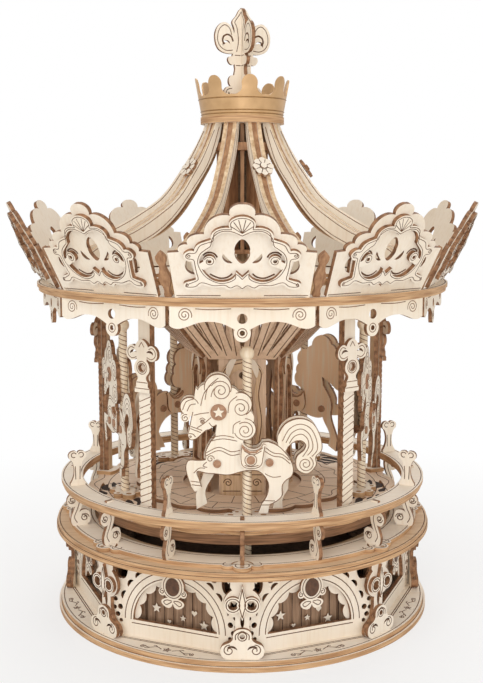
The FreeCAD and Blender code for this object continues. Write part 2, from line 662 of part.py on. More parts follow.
def column_front():
    """Twisted-rope plate up to the capital, plain above it."""
    first, last, twists = 67.0, 130.0, 21
    pitch = (last - first) / twists
    moves = [(COLUMN_HALF, FLOOR_TOP), (COLUMN_HALF, first)]
    for k in range(twists):
        low = first + pitch * k
        moves.append(((COLUMN_HALF + 0.1, low + pitch / 2), (COLUMN_HALF - 0.35, low + pitch)))
    moves += [(COLUMN_HALF, last + 1), (COLUMN_HALF, ROOF_Z)]
    return facing_out(plate(mirrored((0, FLOOR_TOP), *moves)), COLUMN_R + COLUMN_BACK)


def column_capital():
    """Block, ring and two round lobes of a lily on the front of a column."""
    border = mirrored((0, 128.4), (4.6, 128.4), (4.6, 130.4), (3.6, 131.4), (3.6, 133.6), (2.8, 134.6),
                      [(2.7, 136.4), (4.4, 138.6), (4.6, 141.4), (3.0, 144.0)], (3.2, 145.4),
                      [(5.8, 144.0), (8.8, 145.2), (9.4, 148.6), (7.0, 151.4), (4.0, 150.8)],
                      [(2.8, 152.8), (0, 154.4)])
    holes = [disc(0, 140.6, 1.9)] + both_sides(leaf, ((3.0, 148.0), (7.2, 147.0), 1.7, 0.6))
    return facing_out(plate(border, holes), COLUMN_R + COLUMN_BACK + PLY)


def drum_panel():
    border = outline((-DRUM_HALF, FLOOR_TOP), (DRUM_HALF, FLOOR_TOP), (DRUM_HALF, DRUM_TOP),
                     (-DRUM_HALF, DRUM_TOP))
    holes = both_sides(leaf, ((4.4, 84), (4.4, 126), 1.6, -1.6))
    holes += [disc(0, 128.5, 1.8), heart(0, 80.5, 4.0), leaf((0, 92), (0, 120), 1.2, -1.2)]
    return facing_out(plate(border, holes), DRUM_APOTHEM)


def drum_frame():
    """Overlay on a drum panel: a plinth below an arched border."""
    half, side = DRUM_HALF - 1.0, DRUM_HALF - 4.0
    border = mirrored((0, FLOOR_TOP), (half, FLOOR_TOP), (half, 76.0), (half - 1.2, 77.0),
                      [(half - 2.4, 90), (half - 0.6, 104), (half - 2.4, 118), (half - 0.4, 130)],
                      [(half - 3.0, 134.0), (0, 137.0)])
    opening = mirrored((0, 78.5), (side - 1.2, 78.5), [(side - 2.0, 90), (side - 0.4, 104), (side - 2.0, 118),
                                                       (side - 1.2, 126)], [(4.0, 130.5), (0, 132.0)])
    return facing_out(plate(border, [opening]), DRUM_APOTHEM + PLY)


def flare_panel():
    """One side of the funnel from the drum up to the roof, with rays of slots."""
    rise, spread = ROOF_Z - DRUM_TOP, FLARE_TOP_R - FLARE_R
    slope = math.hypot(rise, spread)
    tilt = math.degrees(math.atan2(spread, rise))
    border = mirrored((0, 0), (17.5, 0), (39.5, slope))
    holes = [leaf((0, 6), (0, 40), 1.9, -1.9)]
    holes += both_sides(leaf, ((5.4, 6), (11.4, 40), 1.7, -0.9), ((10.2, 6), (21.6, 40), 1.7, -0.9),
                        ((14.6, 6), (30.4, 40), 1.6, -0.6))
    return facing_out(plate(border, holes), FLARE_R, tilt, DRUM_TOP)


def build_turntable():
    half_step = 180.0 / RIDERS
    save("turntable_floor", [floor_plate()])
    ring = annulus(FLOOR_R - 2.5, 70.6, FLOOR_RING_BOTTOM, FLOOR_TOP - 2 * PLY)
    save("turntable_layers", [under_plate(), ring, inner_floor()])
    save("floor_collars", collars())
    save("column_fronts", spun_all(column_front(), RIDERS, RIDE_TURN + half_step))
    back = outline((-2.5, FLOOR_TOP), (2.5, FLOOR_TOP), (2.5, ROOF_Z), (-2.5, ROOF_Z))
    save("column_backs", spun_all(facing_out(plate(back, thickness=COLUMN_BACK), COLUMN_R), RIDERS,
                                  RIDE_TURN + half_step))
    save("column_capitals", spun_all(column_capital(), RIDERS, RIDE_TURN + half_step))
    save("drum_panels", spun_all(drum_panel(), RIDERS))
    save("drum_frames", spun_all(drum_frame(), RIDERS))
    save("drum_cap", [annulus(FLARE_R - 0.5, SHAFT_R + RUNNING_PLAY, DRUM_TOP, DRUM_TOP + PLY)])
    save("flare_panels", spun_all(flare_panel(), RIDERS))
    save("main_shaft", [rod(SHAFT_R, SHAFT_FOOT_Z, RIB_TOP_Z)])


# Horses

MANE_CURLS = ((-20.0, 60.6, 4.0), (-14.3, 62.9, 6.6), (-8.6, 58.0, 5.0), (-3.6, 54.6, 5.9), (-1.4, 47.6, 4.6),
              (-1.2, 42.2, 5.4))
FORELOCK_CURLS = ((-28.0, 53.6, 4.6), (-30.1, 48.4, 2.3))
DOWELS = ((-14.8, 25.2), (10.8, 25.6))
DOWEL_R = 2.05
DOWEL_STAND = 0.6
SADDLE = 1.5
HEAD_AND_BACK = ([(-19, 42.2), (-22.1, 40.2)], [(-24.9, 37.8), (-27.5, 37.3), (-28.9, 39.4), (-28.2, 42.5)],
                 [(-27.2, 47.5), (-26.4, 54)], (-24.9, 62.8), (-21.0, 58.5),
                 [(-14, 60), (-6, 56), (-1.5, 48), (-2.1, 36)], [(0.8, 33), (4, 32.6), (7.3, 35.6)],
                 (10.6, 35.8), [(14, 34.4), (17.1, 32), (20.9, 27.1), (22.5, 22.2), (21.6, 18.6)])
OUTER_LEGS = ([(18.5, 16.2), (17.0, 13.5), (17.1, 9.2)], [(14.8, 6.4), (10.9, 4.3)], (10.1, 0), (5.4, 0),
              (7.3, 5.2), [(9.4, 8.6), (10.3, 12), (10.2, 15.4)], [(8.2, 19), (4.5, 21.6)],
              [(-2, 21.4), (-9, 19.6), (-15.5, 20.2), (-20, 20.6)], (-24.6, 21.4),
              [(-23.4, 17), (-22.4, 13.6)], (-25.6, 11.2), (-27.6, 14.2),
              [(-29.2, 19), (-30, 23.6), (-28.6, 27)], [(-24.5, 27), (-20.4, 27.4)],
              [(-20.4, 31), (-18, 36), (-15.6, 39.5)])
INNER_LEGS = ([(20.8, 15), (20.6, 10.4)], [(18.8, 7.4), (17.6, 4.6)], (17.8, 0.6), (13.0, 0.6), (13.8, 5.4),
              [(14.4, 9), (13.2, 14.5)], [(9, 19.4), (4.5, 21.6)], [(-2, 21.4), (-9, 19.6), (-15.5, 20.2)],
              [(-17.2, 16.5), (-20.2, 11), (-20.6, 7.6)], (-19.6, 3.4), (-24.9, 0.4), (-25.3, 7.6),
              [(-24.2, 11.5), (-22, 17), (-20.8, 24)], [(-20.6, 31), (-18, 36), (-15.6, 39.5)])


def tail():
    return outline((15.4, 33.5),
                   [(15.2, 39.8), (18.5, 44.8), (25.1, 47.3), (31.6, 45.2), (35.4, 38.8), (36.4, 32),
                    (33.4, 28.2)],
                   [(33.6, 24), (29.6, 19.8), (24.8, 21.6), (23.6, 25.6)],
                   [(24.6, 29), (27.6, 31.6), (28.4, 34.4), (26, 36.4), (22.4, 35.6)],
                   [(19.6, 33), (18.2, 30.5)])


def horse_layer(legs):
    """One plate of a figure: body and legs, joined with the curls of its mane and its tail."""
    trunk = plate(outline((-14.8, 44.6), *HEAD_AND_BACK, *legs))
    curls = [plate(disc(*curl)) for curl in MANE_CURLS + FORELOCK_CURLS]
    whole = joined([trunk, plate(tail())] + curls)
    holes = [plate(disc(s, t, DOWEL_R + RUNNING_PLAY)) for s, t in DOWELS]
    return whole.cut(Part.makeCompound(holes)).Solids[0]


def saddle():
    border = outline((-2.8, 35.2), [(0.8, 32.2), (4, 31.8), (7.6, 35.2)], (9.0, 34.6),
                     [(8.2, 29), (7.4, 24.5), (4.2, 22.4)], (-1.2, 22.6),
                     [(-3.4, 25), (-3.8, 30), (-2.8, 35.2)])
    return plate(border, thickness=SADDLE)


def horse_figure():
    """Outer and inner plates held apart by two dowels, with a saddle flap on each side."""
    gap = POLE_R + RUNNING_PLAY
    skin = gap + PLY
    outer = moved(horse_layer(OUTER_LEGS), UP * gap)
    inner = moved(horse_layer(INNER_LEGS), UP * -skin)
    dowels = [rod(DOWEL_R, -skin - DOWEL_STAND, skin + DOWEL_STAND, place) for place in DOWELS]
    flaps = [moved(saddle(), UP * skin), moved(saddle(), UP * (-skin - SADDLE))]
    solids = [outer, inner] + dowels + flaps
    return [facing_out(solid, POLE_CIRCLE_R, 0, HOOF_Z) for solid in solids]


def horse_pole():
    shaft = rod(POLE_R, POLE_FOOT_Z, POLE_KNOB_Z)
    knob = Part.makeSphere(POLE_KNOB_R, Vec(0, 0, POLE_KNOB_Z))
    return moved(joined([shaft, knob]), Vec(0, -POLE_CIRCLE_R, 0))


def build_horses():
    figure, pole = horse_figure(), horse_pole()
    for k, azimuth in enumerate(RIDER_AZIMUTHS):
        rise = UP * rider_lift(azimuth)
        turn = azimuth + RIDE_TURN
        save("horse_" + str(k + 1), [spun(moved(solid, rise), turn) for solid in figure])
        save("horse_pole_" + str(k + 1), [spun(moved(pole, rise), turn)])


# Roof

def valance_panel():
    border = mirrored((0, 157.6), [(2.6, 158.6), (3.8, 161.2), (3.4, 163.2)],
                      [(6.0, 164.6), (10, 166.2), (15, 166.8), (20, 166.2), (25, 164.4), (29, 163.6),
                       (VALANCE_HALF, 165.0)], (VALANCE_HALF, ROOF_Z))
    return facing_out(plate(border, [disc(0, 161.6, 1.2), disc(0, 168.1, 2.3)]), VALANCE_APOTHEM)


CORNICE_FOOT_Z = ROOF_TOP + PLY * math.sin(math.radians(CORNICE_TILT))


def cornice_panel():
    """Leaning back plate: a band with a lobed crest, an oval window, commas and side crescents."""
    border = mirrored((0, 0), (29.8, 0), (32.4, 22.6), (27.4, 23.0),
                      [(27.6, 25.2), (25.6, 26.6), (23.6, 26.6)], [(23.4, 29.4), (20.0, 31.4), (16.4, 31.6)],
                      [(15.6, 35.6), (13.0, 38.8), (9.0, 40.6), (5.2, 40.4)],
                      [(5.0, 43.6), (2.6, 45.4), (0, 45.7)])
    holes = [oval(0, 23.2, 3.2, 6.0)]
    holes += both_sides(leaf, ((4.2, 17.6), (8.4, 22.2), -0.2, -2.0), ((22.8, 20.2), (20.8, 11.8), 3.2, 0.2))
    return facing_out(plate(border, holes), CORNICE_APOTHEM, CORNICE_TILT, CORNICE_FOOT_Z)


def cornice_frame():
    """Raised cartouche in front of a cornice panel, with a curl on each side of its opening."""
    border = mirrored((0, 4.8), [(2.4, 6.4), (5.2, 5.2), (8.0, 6.6)], [(12.6, 6.4), (17.6, 7.8)],
                      [(20.4, 5.8), (24.8, 5.6), (25.8, 7.8), (22.6, 9.6), (20.2, 10.4)],
                      [(20.6, 13.4), (21.2, 16.6), (21.8, 19.4)],
                      [(24.2, 20.0), (25.4, 22.2), (23.8, 24.2), (20.8, 24.4)],
                      [(18.8, 27.8), (15.0, 29.4), (13.4, 30.0)], [(12.6, 33.4), (9.4, 35.4), (5.4, 35.6)],
                      [(5.4, 38.4), (3.0, 40.4), (0, 41.0)])
    opening = mirrored((0, 11.4), (2.8, 14.2), [(3.8, 11.2), (6.4, 9.6), (10.0, 9.2), (14.6, 11.4)],
                       [(17.2, 14.8), (18.6, 18.8), (17.6, 22.4)], [(15.0, 24.8), (12.9, 26.6)],
                       [(12.0, 30.4), (9.0, 33.0), (4.8, 33.2), (0, 31.0)])
    pieces = [plate(border, [opening])]
    for hand in (1, -1):
        pieces.append(plate(disc(hand * 14.2, 19.4, 2.7), [disc(hand * 14.2, 19.4, 0.9)]))
        pieces.append(plate(outline((hand * 13.8, 16.9), (hand * 17.0, 15.2), (hand * 19.8, 17.6),
                                    (hand * 16.4, 19.6))))
    return facing_out(moved(joined(pieces), UP * PLY), CORNICE_APOTHEM, CORNICE_TILT, CORNICE_FOOT_Z)


def corner_fin():
    """Vase-shaped fin standing in the gap between two cornice panels, leaning with them."""
    lean = math.degrees(math.atan(math.tan(math.radians(CORNICE_TILT)) / math.cos(math.pi / ROOF_BAYS)))
    border = mirrored((0, 0), (1.7, 0), (1.7, 1.6), [(1.3, 3.6), (2.8, 9.0), (1.5, 14.4), (1.4, 16.4)],
                      [(2.3, 18.4), (2.3, 20.6)], (1.2, 22.0), (0, 23.0))
    return facing_out(plate(border), FIN_R, lean, ROOF_TOP + PLY * math.sin(math.radians(lean)))


def rib_outline(inset):
    """Curved rib from the crown down to the roof ring, its outer edge drawn in by the inset."""
    outer = [(19.7, RIB_TOP_Z), (27.3, 244.4), (33.0, 235.8), (42.9, 222.6), (55.3, 213.4), (70.0, 205.3),
             (90.0, 198.2)]
    drawn = [(r - inset * 0.7, z - (inset * 0.7 if z < RIB_TOP_Z else 0)) for r, z in outer]
    return outline(drawn[0], drawn[1:], [(95.0 - inset, 193.0), (94.0 - inset, ROOF_TOP)], (85.0, ROOF_TOP),
                   [(84.6, 186.0), (80.0, 193.6)],
                   [(70.0, 196.6), (56.1, 203.0), (44.0, 212.5), (31.2, 228.0), (22.8, 240.0),
                    (15.6, RIB_TOP_Z)])


def rib_flower():
    """Flower on a rib's outer edge, facing along that edge's normal."""
    count, reach, petal_r, sheet, lean = 8, 3.7, 1.8, 1.5, -35.6
    petals = spun_all(plate(disc(reach, 0, petal_r), thickness=sheet), count)
    bloom = joined(petals + [plate(disc(0, 0, 2.6), thickness=sheet)])
    button = moved(plate(disc(0, 0, 1.6), thickness=0.8), UP * sheet)
    return [facing_out(solid, 33.5, lean, 236.5) for solid in (bloom, button)]


def hub():
    """Lower hub plate, the slats that carry the collar, and a slatted core hung under the plate."""
    lower = annulus(HUB_R, SHAFT_R + RUNNING_PLAY, HUB_Z, HUB_Z + 2 * PLY)
    foot = annulus(HUB_CORE_R + 1, SHAFT_R + RUNNING_PLAY, HUB_CORE_Z, HUB_CORE_Z + PLY)
    slat = outline((8.0, HUB_Z + 2 * PLY), (13.0, HUB_Z + 2 * PLY), (13.0, RIB_TOP_Z), (8.0, RIB_TOP_Z))
    core_foot = HUB_CORE_Z + PLY
    long_slat = outline((5.0, core_foot), (HUB_CORE_R, core_foot), (HUB_CORE_R, HUB_Z), (5.0, HUB_Z))
    slats = [copy for wire in (slat, long_slat) for copy in spun_all(edge_on(plate(wire), PLY), ROOF_BAYS)]
    return [lower, foot] + slats


def crown_band():
    """Conical gilt band, its upper edge cut into rounded points."""
    height = CROWN_TOP_Z - CROWN_Z
    outer = Part.makeCone(CROWN_R, CROWN_TOP_R, height, Vec(0, 0, CROWN_Z))
    inner = Part.makeCone(CROWN_R - CROWN_WALL, CROWN_TOP_R - CROWN_WALL, height, Vec(0, 0, CROWN_Z))
    half = math.pi * CROWN_TOP_R / CROWN_POINTS
    top = CROWN_TOP_Z
    notch = mirrored((0, top - 9.4), [(3.4, top - 9.0), (5.3, top - 6.8), (5.4, top - 3.8), (6.8, top - 1.1),
                                      (half - 0.2, top + 0.1)], (half - 0.2, top + 2))
    cutter = facing_out(plate(notch, thickness=8.0), CROWN_R - 2.4)
    cutters = spun_all(cutter, CROWN_POINTS, CROWN_TURN + 180.0 / CROWN_POINTS)
    return outer.cut(inner).cut(Part.makeCompound(cutters)).Solids[0]


def finial_plate(slot_bottom, slot_top):
    """Lily plate with half of its middle slotted, so that two of them cross."""
    border = mirrored((0, CROWN_Z + PLY), (5, CROWN_Z + PLY), (5, 269.0),
                      [(8.8, 270.6), (11.0, 274.6), (9.8, 278.6), (6.8, 279.6)],
                      [(8.0, 281.4), (7.6, 284.2), (5.0, 285.4)], (4.4, 288.6), (4.8, 291.0),
                      [(7.8, 291.6), (8.4, 293.8), (6.0, 295.0)], (5.6, 296.4),
                      [(9.0, 296.4), (13.4, 298.2), (15.5, 303.0), (14.6, 309.0), (10.6, 312.2), (6.8, 310.4),
                       (5.2, 306.6)],
                      [(5.0, 309.4), (6.0, 312.6), (3.8, 315.6), (2.2, 318.4), (0, FINIAL_TOP)])
    curls = both_sides(leaf, ((6.6, 272.4), (8.0, 277.0), -1.0, 0.2), ((7.2, 301.2), (11.2, 300.0), 2.6, 1.5))
    blank = edge_on(plate(border, curls), PLY)
    half = (PLY + SLOT_PLAY) / 2
    slot = Part.makeBox(PLY * 2, 2 * half, slot_top - slot_bottom, Vec(-PLY, -half, slot_bottom))
    return blank.cut(slot).Solids[0]


def build_roof():
    bay = 360.0 / ROOF_BAYS
    save("roof_rings", [annulus(ROOF_R - 0.8, 55.0, ROOF_Z, ROOF_Z + PLY),
                        annulus(ROOF_R, 60.0, ROOF_Z + PLY, ROOF_TOP)])
    save("valance_panels", spun_all(valance_panel(), ROOF_BAYS))
    save("cornice_panels", spun_all(cornice_panel(), ROOF_BAYS))
    save("cornice_frames", spun_all(cornice_frame(), ROOF_BAYS))
    save("corner_fins", spun_all(corner_fin(), ROOF_BAYS, bay / 2))
    cheek = plate(rib_outline(0.0))
    offset = (RIB_CORE + PLY) / 2
    pair = [moved(edge_on(cheek, PLY), Vec(side * offset, 0, 0)) for side in (1, -1)]
    save("rib_cheeks", [copy for one in pair for copy in spun_all(one, ROOF_BAYS, bay / 2)])
    core = edge_on(plate(rib_outline(1.2), thickness=RIB_CORE), RIB_CORE)
    save("rib_cores", spun_all(core, ROOF_BAYS, bay / 2))
    save("rib_flowers", [copy for solid in rib_flower() for copy in spun_all(solid, RIDERS, bay / 2)])
    save("roof_hub", hub())
    save("crown_plates", [rod(CROWN_R + 0.6, RIB_TOP_Z, CROWN_Z),
                          rod(CROWN_R - CROWN_WALL - 0.2, CROWN_Z, CROWN_Z + PLY)])
    save("crown_band", [crown_band()])
    lower_slot = finial_plate(CROWN_Z, FINIAL_LAP_Z)
    upper_slot = finial_plate(FINIAL_LAP_Z, FINIAL_TOP + 1)
    save("finial_plates", [spun(lower_slot, FINIAL_TURN), spun(upper_slot, FINIAL_TURN + 90)])


build_base()
build_movement()
build_turntable()
build_horses()
build_roof()
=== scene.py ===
"""Dressed scene of the laser-cut plywood carousel music box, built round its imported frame."""

import logging
import math
from dataclasses import dataclass, field
from enum import Enum

import bpy
from mathutils import Matrix, Vector


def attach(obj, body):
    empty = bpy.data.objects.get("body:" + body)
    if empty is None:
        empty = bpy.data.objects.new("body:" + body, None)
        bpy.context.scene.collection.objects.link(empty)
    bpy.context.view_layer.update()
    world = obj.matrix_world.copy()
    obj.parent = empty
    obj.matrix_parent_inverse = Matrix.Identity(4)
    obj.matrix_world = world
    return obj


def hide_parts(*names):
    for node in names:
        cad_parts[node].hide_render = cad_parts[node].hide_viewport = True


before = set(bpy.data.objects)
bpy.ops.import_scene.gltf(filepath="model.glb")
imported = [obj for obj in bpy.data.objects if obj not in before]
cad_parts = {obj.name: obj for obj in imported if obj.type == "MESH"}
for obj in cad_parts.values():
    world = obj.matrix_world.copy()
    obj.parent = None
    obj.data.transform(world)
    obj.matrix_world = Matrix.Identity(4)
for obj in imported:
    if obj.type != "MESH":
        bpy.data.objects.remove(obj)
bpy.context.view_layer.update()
LOG = logging.getLogger("carousel")
MM = 0.001
RIDE_TURN = 2.0
# Widths and reliefs of burnt lines and of painted shade lines, in millimetres
HAIR_LINE = 0.36
FINE_LINE = 0.42
THIN_LINE = 0.45
LINE = 0.5
BROAD_LINE = 0.55
HOLLOW_SHADE_LINE = 0.8
BOLD_LINE = 0.9
FINE_RELIEF = 0.1
LINE_RELIEF = 0.12
SEAM_RELIEF = 0.16
FOLD_RELIEF = 0.25
HALF_SHEET = 1.0
# How squarely a surface looks along a sheet's direction to be its face and not its edge
FACE_FROM = 0.52
FACE_FULL = 0.62
Point = tuple[float, float]
Pair = tuple[float, float]
Stroke = list[Point]
Colour = tuple[float, float, float]


class PlateLie(Enum):
    """How the sheets of a piece lie, which tells a sawn edge from a printed face."""

    LEVEL = "level"
    OUTWARD = "outward"
    RADIAL = "radial"


def linear(colour: Colour) -> tuple[float, float, float, float]:
    """Turn a display colour into the linear one that a shader socket takes.

    Args:
        colour: Red, green and blue from 0 to 1, as seen on a screen.

    Returns:
        The linear colour with full opacity.
    """
    values = [c / 12.92 if c <= 0.04045 else ((c + 0.055) / 1.055) ** 2.4 for c in colour]
    return (values[0], values[1], values[2], 1.0)


class NodeBench:
    """A small workbench on one material's node tree."""

    def __init__(self, name: str) -> None:
        """Start an empty material with its shader and output."""
        self.material = bpy.data.materials.new(name)
        self.material.use_nodes = True
        self.tree = self.material.node_tree
        self.tree.nodes.clear()
        self.shader = self.add("ShaderNodeBsdfPrincipled")
        output = self.add("ShaderNodeOutputMaterial")
        self.link(self.shader.outputs["BSDF"], output.inputs["Surface"])
        self.place = self.add("ShaderNodeTexCoord")

    def add(self, kind: str, **settings: object) -> bpy.types.Node:
        """Add one node.

        Args:
            kind: The node's type name.
            **settings: Properties to set on it.

        Returns:
            The new node.
        """
        node = self.tree.nodes.new(kind)
        for key, value in settings.items():
            setattr(node, key, value)
        return node

    def link(self, start: bpy.types.NodeSocket, end: bpy.types.NodeSocket) -> None:
        """Join two sockets."""
        self.tree.links.new(start, end)

    def vector(self, operation: str, first: object, second: object = None) -> bpy.types.Node:
        """Add a vector sum.

        Args:
            operation: Its name, such as DOT_PRODUCT.
            first: A socket or three numbers.
            second: A socket, three numbers or nothing.

        Returns:
            The new node.
        """
        node = self.add("ShaderNodeVectorMath", operation=operation)
        for slot, value in enumerate((first, second)):
            if isinstance(value, bpy.types.NodeSocket):
                self.link(value, node.inputs[slot])
            elif value is not None:
                node.inputs[slot].default_value = value
        return node

    def noise(self, scale: tuple[float, float, float], detail: float = 3.0) -> bpy.types.NodeSocket:
        """Add noise stretched along the piece's own axes.

        Args:
            scale: Cells per metre along X, Y and Z.
            detail: Octaves of finer noise.

        Returns:
            The noise value's socket.
        """
        stretch = self.vector("MULTIPLY", self.place.outputs["Object"], scale)
        node = self.add("ShaderNodeTexNoise")
        node.inputs["Scale"].default_value = 1.0
        node.inputs["Detail"].default_value = detail
        self.link(stretch.outputs["Vector"], node.inputs["Vector"])
        return node.outputs["Fac"]

    def ramp(self, value: bpy.types.NodeSocket, stops: list[tuple[float, Colour]]) -> bpy.types.NodeSocket:
        """Colour a value.

        Args:
            value: The value's socket.
            stops: Places from 0 to 1 with their display colours.

        Returns:
            The colour's socket.
        """
        node = self.add("ShaderNodeValToRGB")
        elements = node.color_ramp.elements
        while len(elements) < len(stops):
            elements.new(0.5)
        for element, (place, colour) in zip(elements, stops):
            element.position = place
            element.color = linear(colour)
        self.link(value, node.inputs["Fac"])
        return node.outputs["Color"]

    def mix(self, share: bpy.types.NodeSocket | float, first: bpy.types.NodeSocket,
            second: bpy.types.NodeSocket, blend: str = "MIX") -> bpy.types.NodeSocket:
        """Mix two colours.

        Args:
            share: How much of the second shows, a socket or a number.
            first: The first colour's socket.
            second: The second colour's socket.
            blend: The way they mix.

        Returns:
            The mixed colour's socket.
        """
        node = self.add("ShaderNodeMix", data_type="RGBA", blend_type=blend)
        if isinstance(share, bpy.types.NodeSocket):
            self.link(share, node.inputs[0])
        else:
            node.inputs[0].default_value = share
        self.link(first, node.inputs[6])
        self.link(second, node.inputs[7])
        return node.outputs[2]

    def bump(self, height: bpy.types.NodeSocket, strength: float, distance: float) -> None:
        """Roughen the shader's surface by a height."""
        node = self.add("ShaderNodeBump")
        node.inputs["Strength"].default_value = strength
        node.inputs["Distance"].default_value = distance
        self.link(height, node.inputs["Height"])
        self.link(node.outputs["Normal"], self.shader.inputs["Normal"])

    def step(self, value: bpy.types.NodeSocket, low: float, high: float) -> bpy.types.NodeSocket:
        """Turn a value into a clean 0 to 1 step between two limits."""
        node = self.add("ShaderNodeMapRange", clamp=True)
        node.inputs["From Min"].default_value = low
        node.inputs["From Max"].default_value = high
        self.link(value, node.inputs["Value"])
        return node.outputs["Result"]


@dataclass(frozen=True)
class PlyFinish:
    """Laser-cut plywood: pale grained faces and burnt cut edges.

    Attributes:
        name: The finish's name.
        lie: How the sheets lie.
        face: Display colour of the pale face.
        grain: Display colour of its grain lines.
        edge_light: Display colour of the lightest burnt edge.
        edge_dark: Display colour of the darkest burnt edge.
        back: Display colour of the faces that look in to the axis, if it differs, a darker tan that is
            painted shade on those shaded faces.
        rough: Roughness of the surface.
        gloss: Specular level.
        fibre_bump: Strength and depth in metres of the grain.
    """

    name: str
    lie: PlateLie
    face: Colour = (0.962, 0.918, 0.855)
    grain: Colour = (0.945, 0.89, 0.815)
    edge_light: Colour = (0.66, 0.49, 0.355)
    edge_dark: Colour = (0.41, 0.28, 0.19)
    back: Colour | None = None
    rough: float = 0.62
    gloss: float = 0.3
    fibre_bump: Pair = (0.18, 0.0003)

    def make(self) -> bpy.types.Material:
        """Build the material.

        Returns:
            The plywood material.
        """
        bench = NodeBench(self.name)
        position = bench.place.outputs["Object"]
        if self.lie is PlateLie.LEVEL:
            along = (0.0, 0.0, 1.0)
            fibre, streak = (55.0, 900.0, 300.0), (60.0, 60.0, 1300.0)
        else:
            flat = bench.vector("MULTIPLY", position, (1.0, 1.0, 0.0))
            direction = bench.vector("NORMALIZE", flat.outputs["Vector"])
            if self.lie is PlateLie.RADIAL:
                direction = bench.vector("CROSS_PRODUCT", (0.0, 0.0, 1.0), direction.outputs["Vector"])
            along = direction.outputs["Vector"]
            fibre, streak = (700.0, 700.0, 45.0), (420.0, 420.0, 420.0)
        facing = bench.vector("DOT_PRODUCT", bench.place.outputs["Normal"], along)
        size = bench.add("ShaderNodeMath", operation="ABSOLUTE")
        bench.link(facing.outputs["Value"], size.inputs[0])
        on_face = bench.step(size.outputs[0], FACE_FROM, FACE_FULL)
        fibres = bench.noise(fibre, 4.0)
        face = bench.ramp(fibres, [(0.3, self.grain), (0.52, self.face), (0.8, self.face)])
        # Painted shade: faces that look in to the axis take the darker back colour.
        if self.back:
            inward_shade_share = bench.step(facing.outputs["Value"], -FACE_FROM, -FACE_FULL)
            face = bench.mix(inward_shade_share, face, bench.ramp(fibres, [(0.3, self.grain), (0.52, self.back)]))
        clouds = bench.noise((22.0, 22.0, 22.0), 2.0)
        tint = bench.ramp(clouds, [(0.3, (0.965, 0.95, 0.925)), (0.7, (1.0, 1.0, 1.0))])
        whole = bench.mix(1.0, face, tint, "MULTIPLY")
        burn = bench.ramp(bench.noise(streak, 3.0), [(0.32, self.edge_dark), (0.68, self.edge_light)])
        bench.link(bench.mix(on_face, burn, whole), bench.shader.inputs["Base Color"])
        bench.shader.inputs["Roughness"].default_value = self.rough
        bench.shader.inputs["Specular IOR Level"].default_value = self.gloss
        bench.bump(fibres, *self.fibre_bump)
        return bench.material


@dataclass(frozen=True)
class PlainFinish:
    """A surface of one colour with a fine mottle, such as a burnt line, stain or metal.

    Attributes:
        name: The finish's name.
        pale: Its lighter display colour.
        deep: Its darker display colour.
        rough: Roughness of the surface.
        metal: Share of metal, 0 or 1.
        cells: Mottle cells per metre along X, Y and Z.
        mottle_bump: Strength and depth in metres of the mottle.
    """

    name: str
    pale: Colour
    deep: Colour
    rough: float = 0.6
    metal: float = 0.0
    cells: tuple[float, float, float] = (500.0, 500.0, 500.0)
    mottle_bump: Pair = (0.15, 0.0002)

    def make(self) -> bpy.types.Material:
        """Build the material.

        Returns:
            The mottled material.
        """
        bench = NodeBench(self.name)
        mottle = bench.noise(self.cells, 3.0)
        bench.link(bench.ramp(mottle, [(0.3, self.deep), (0.7, self.pale)]),
                   bench.shader.inputs["Base Color"])
        bench.shader.inputs["Roughness"].default_value = self.rough
        bench.shader.inputs["Metallic"].default_value = self.metal
        bench.bump(mottle, *self.mottle_bump)
        return bench.material


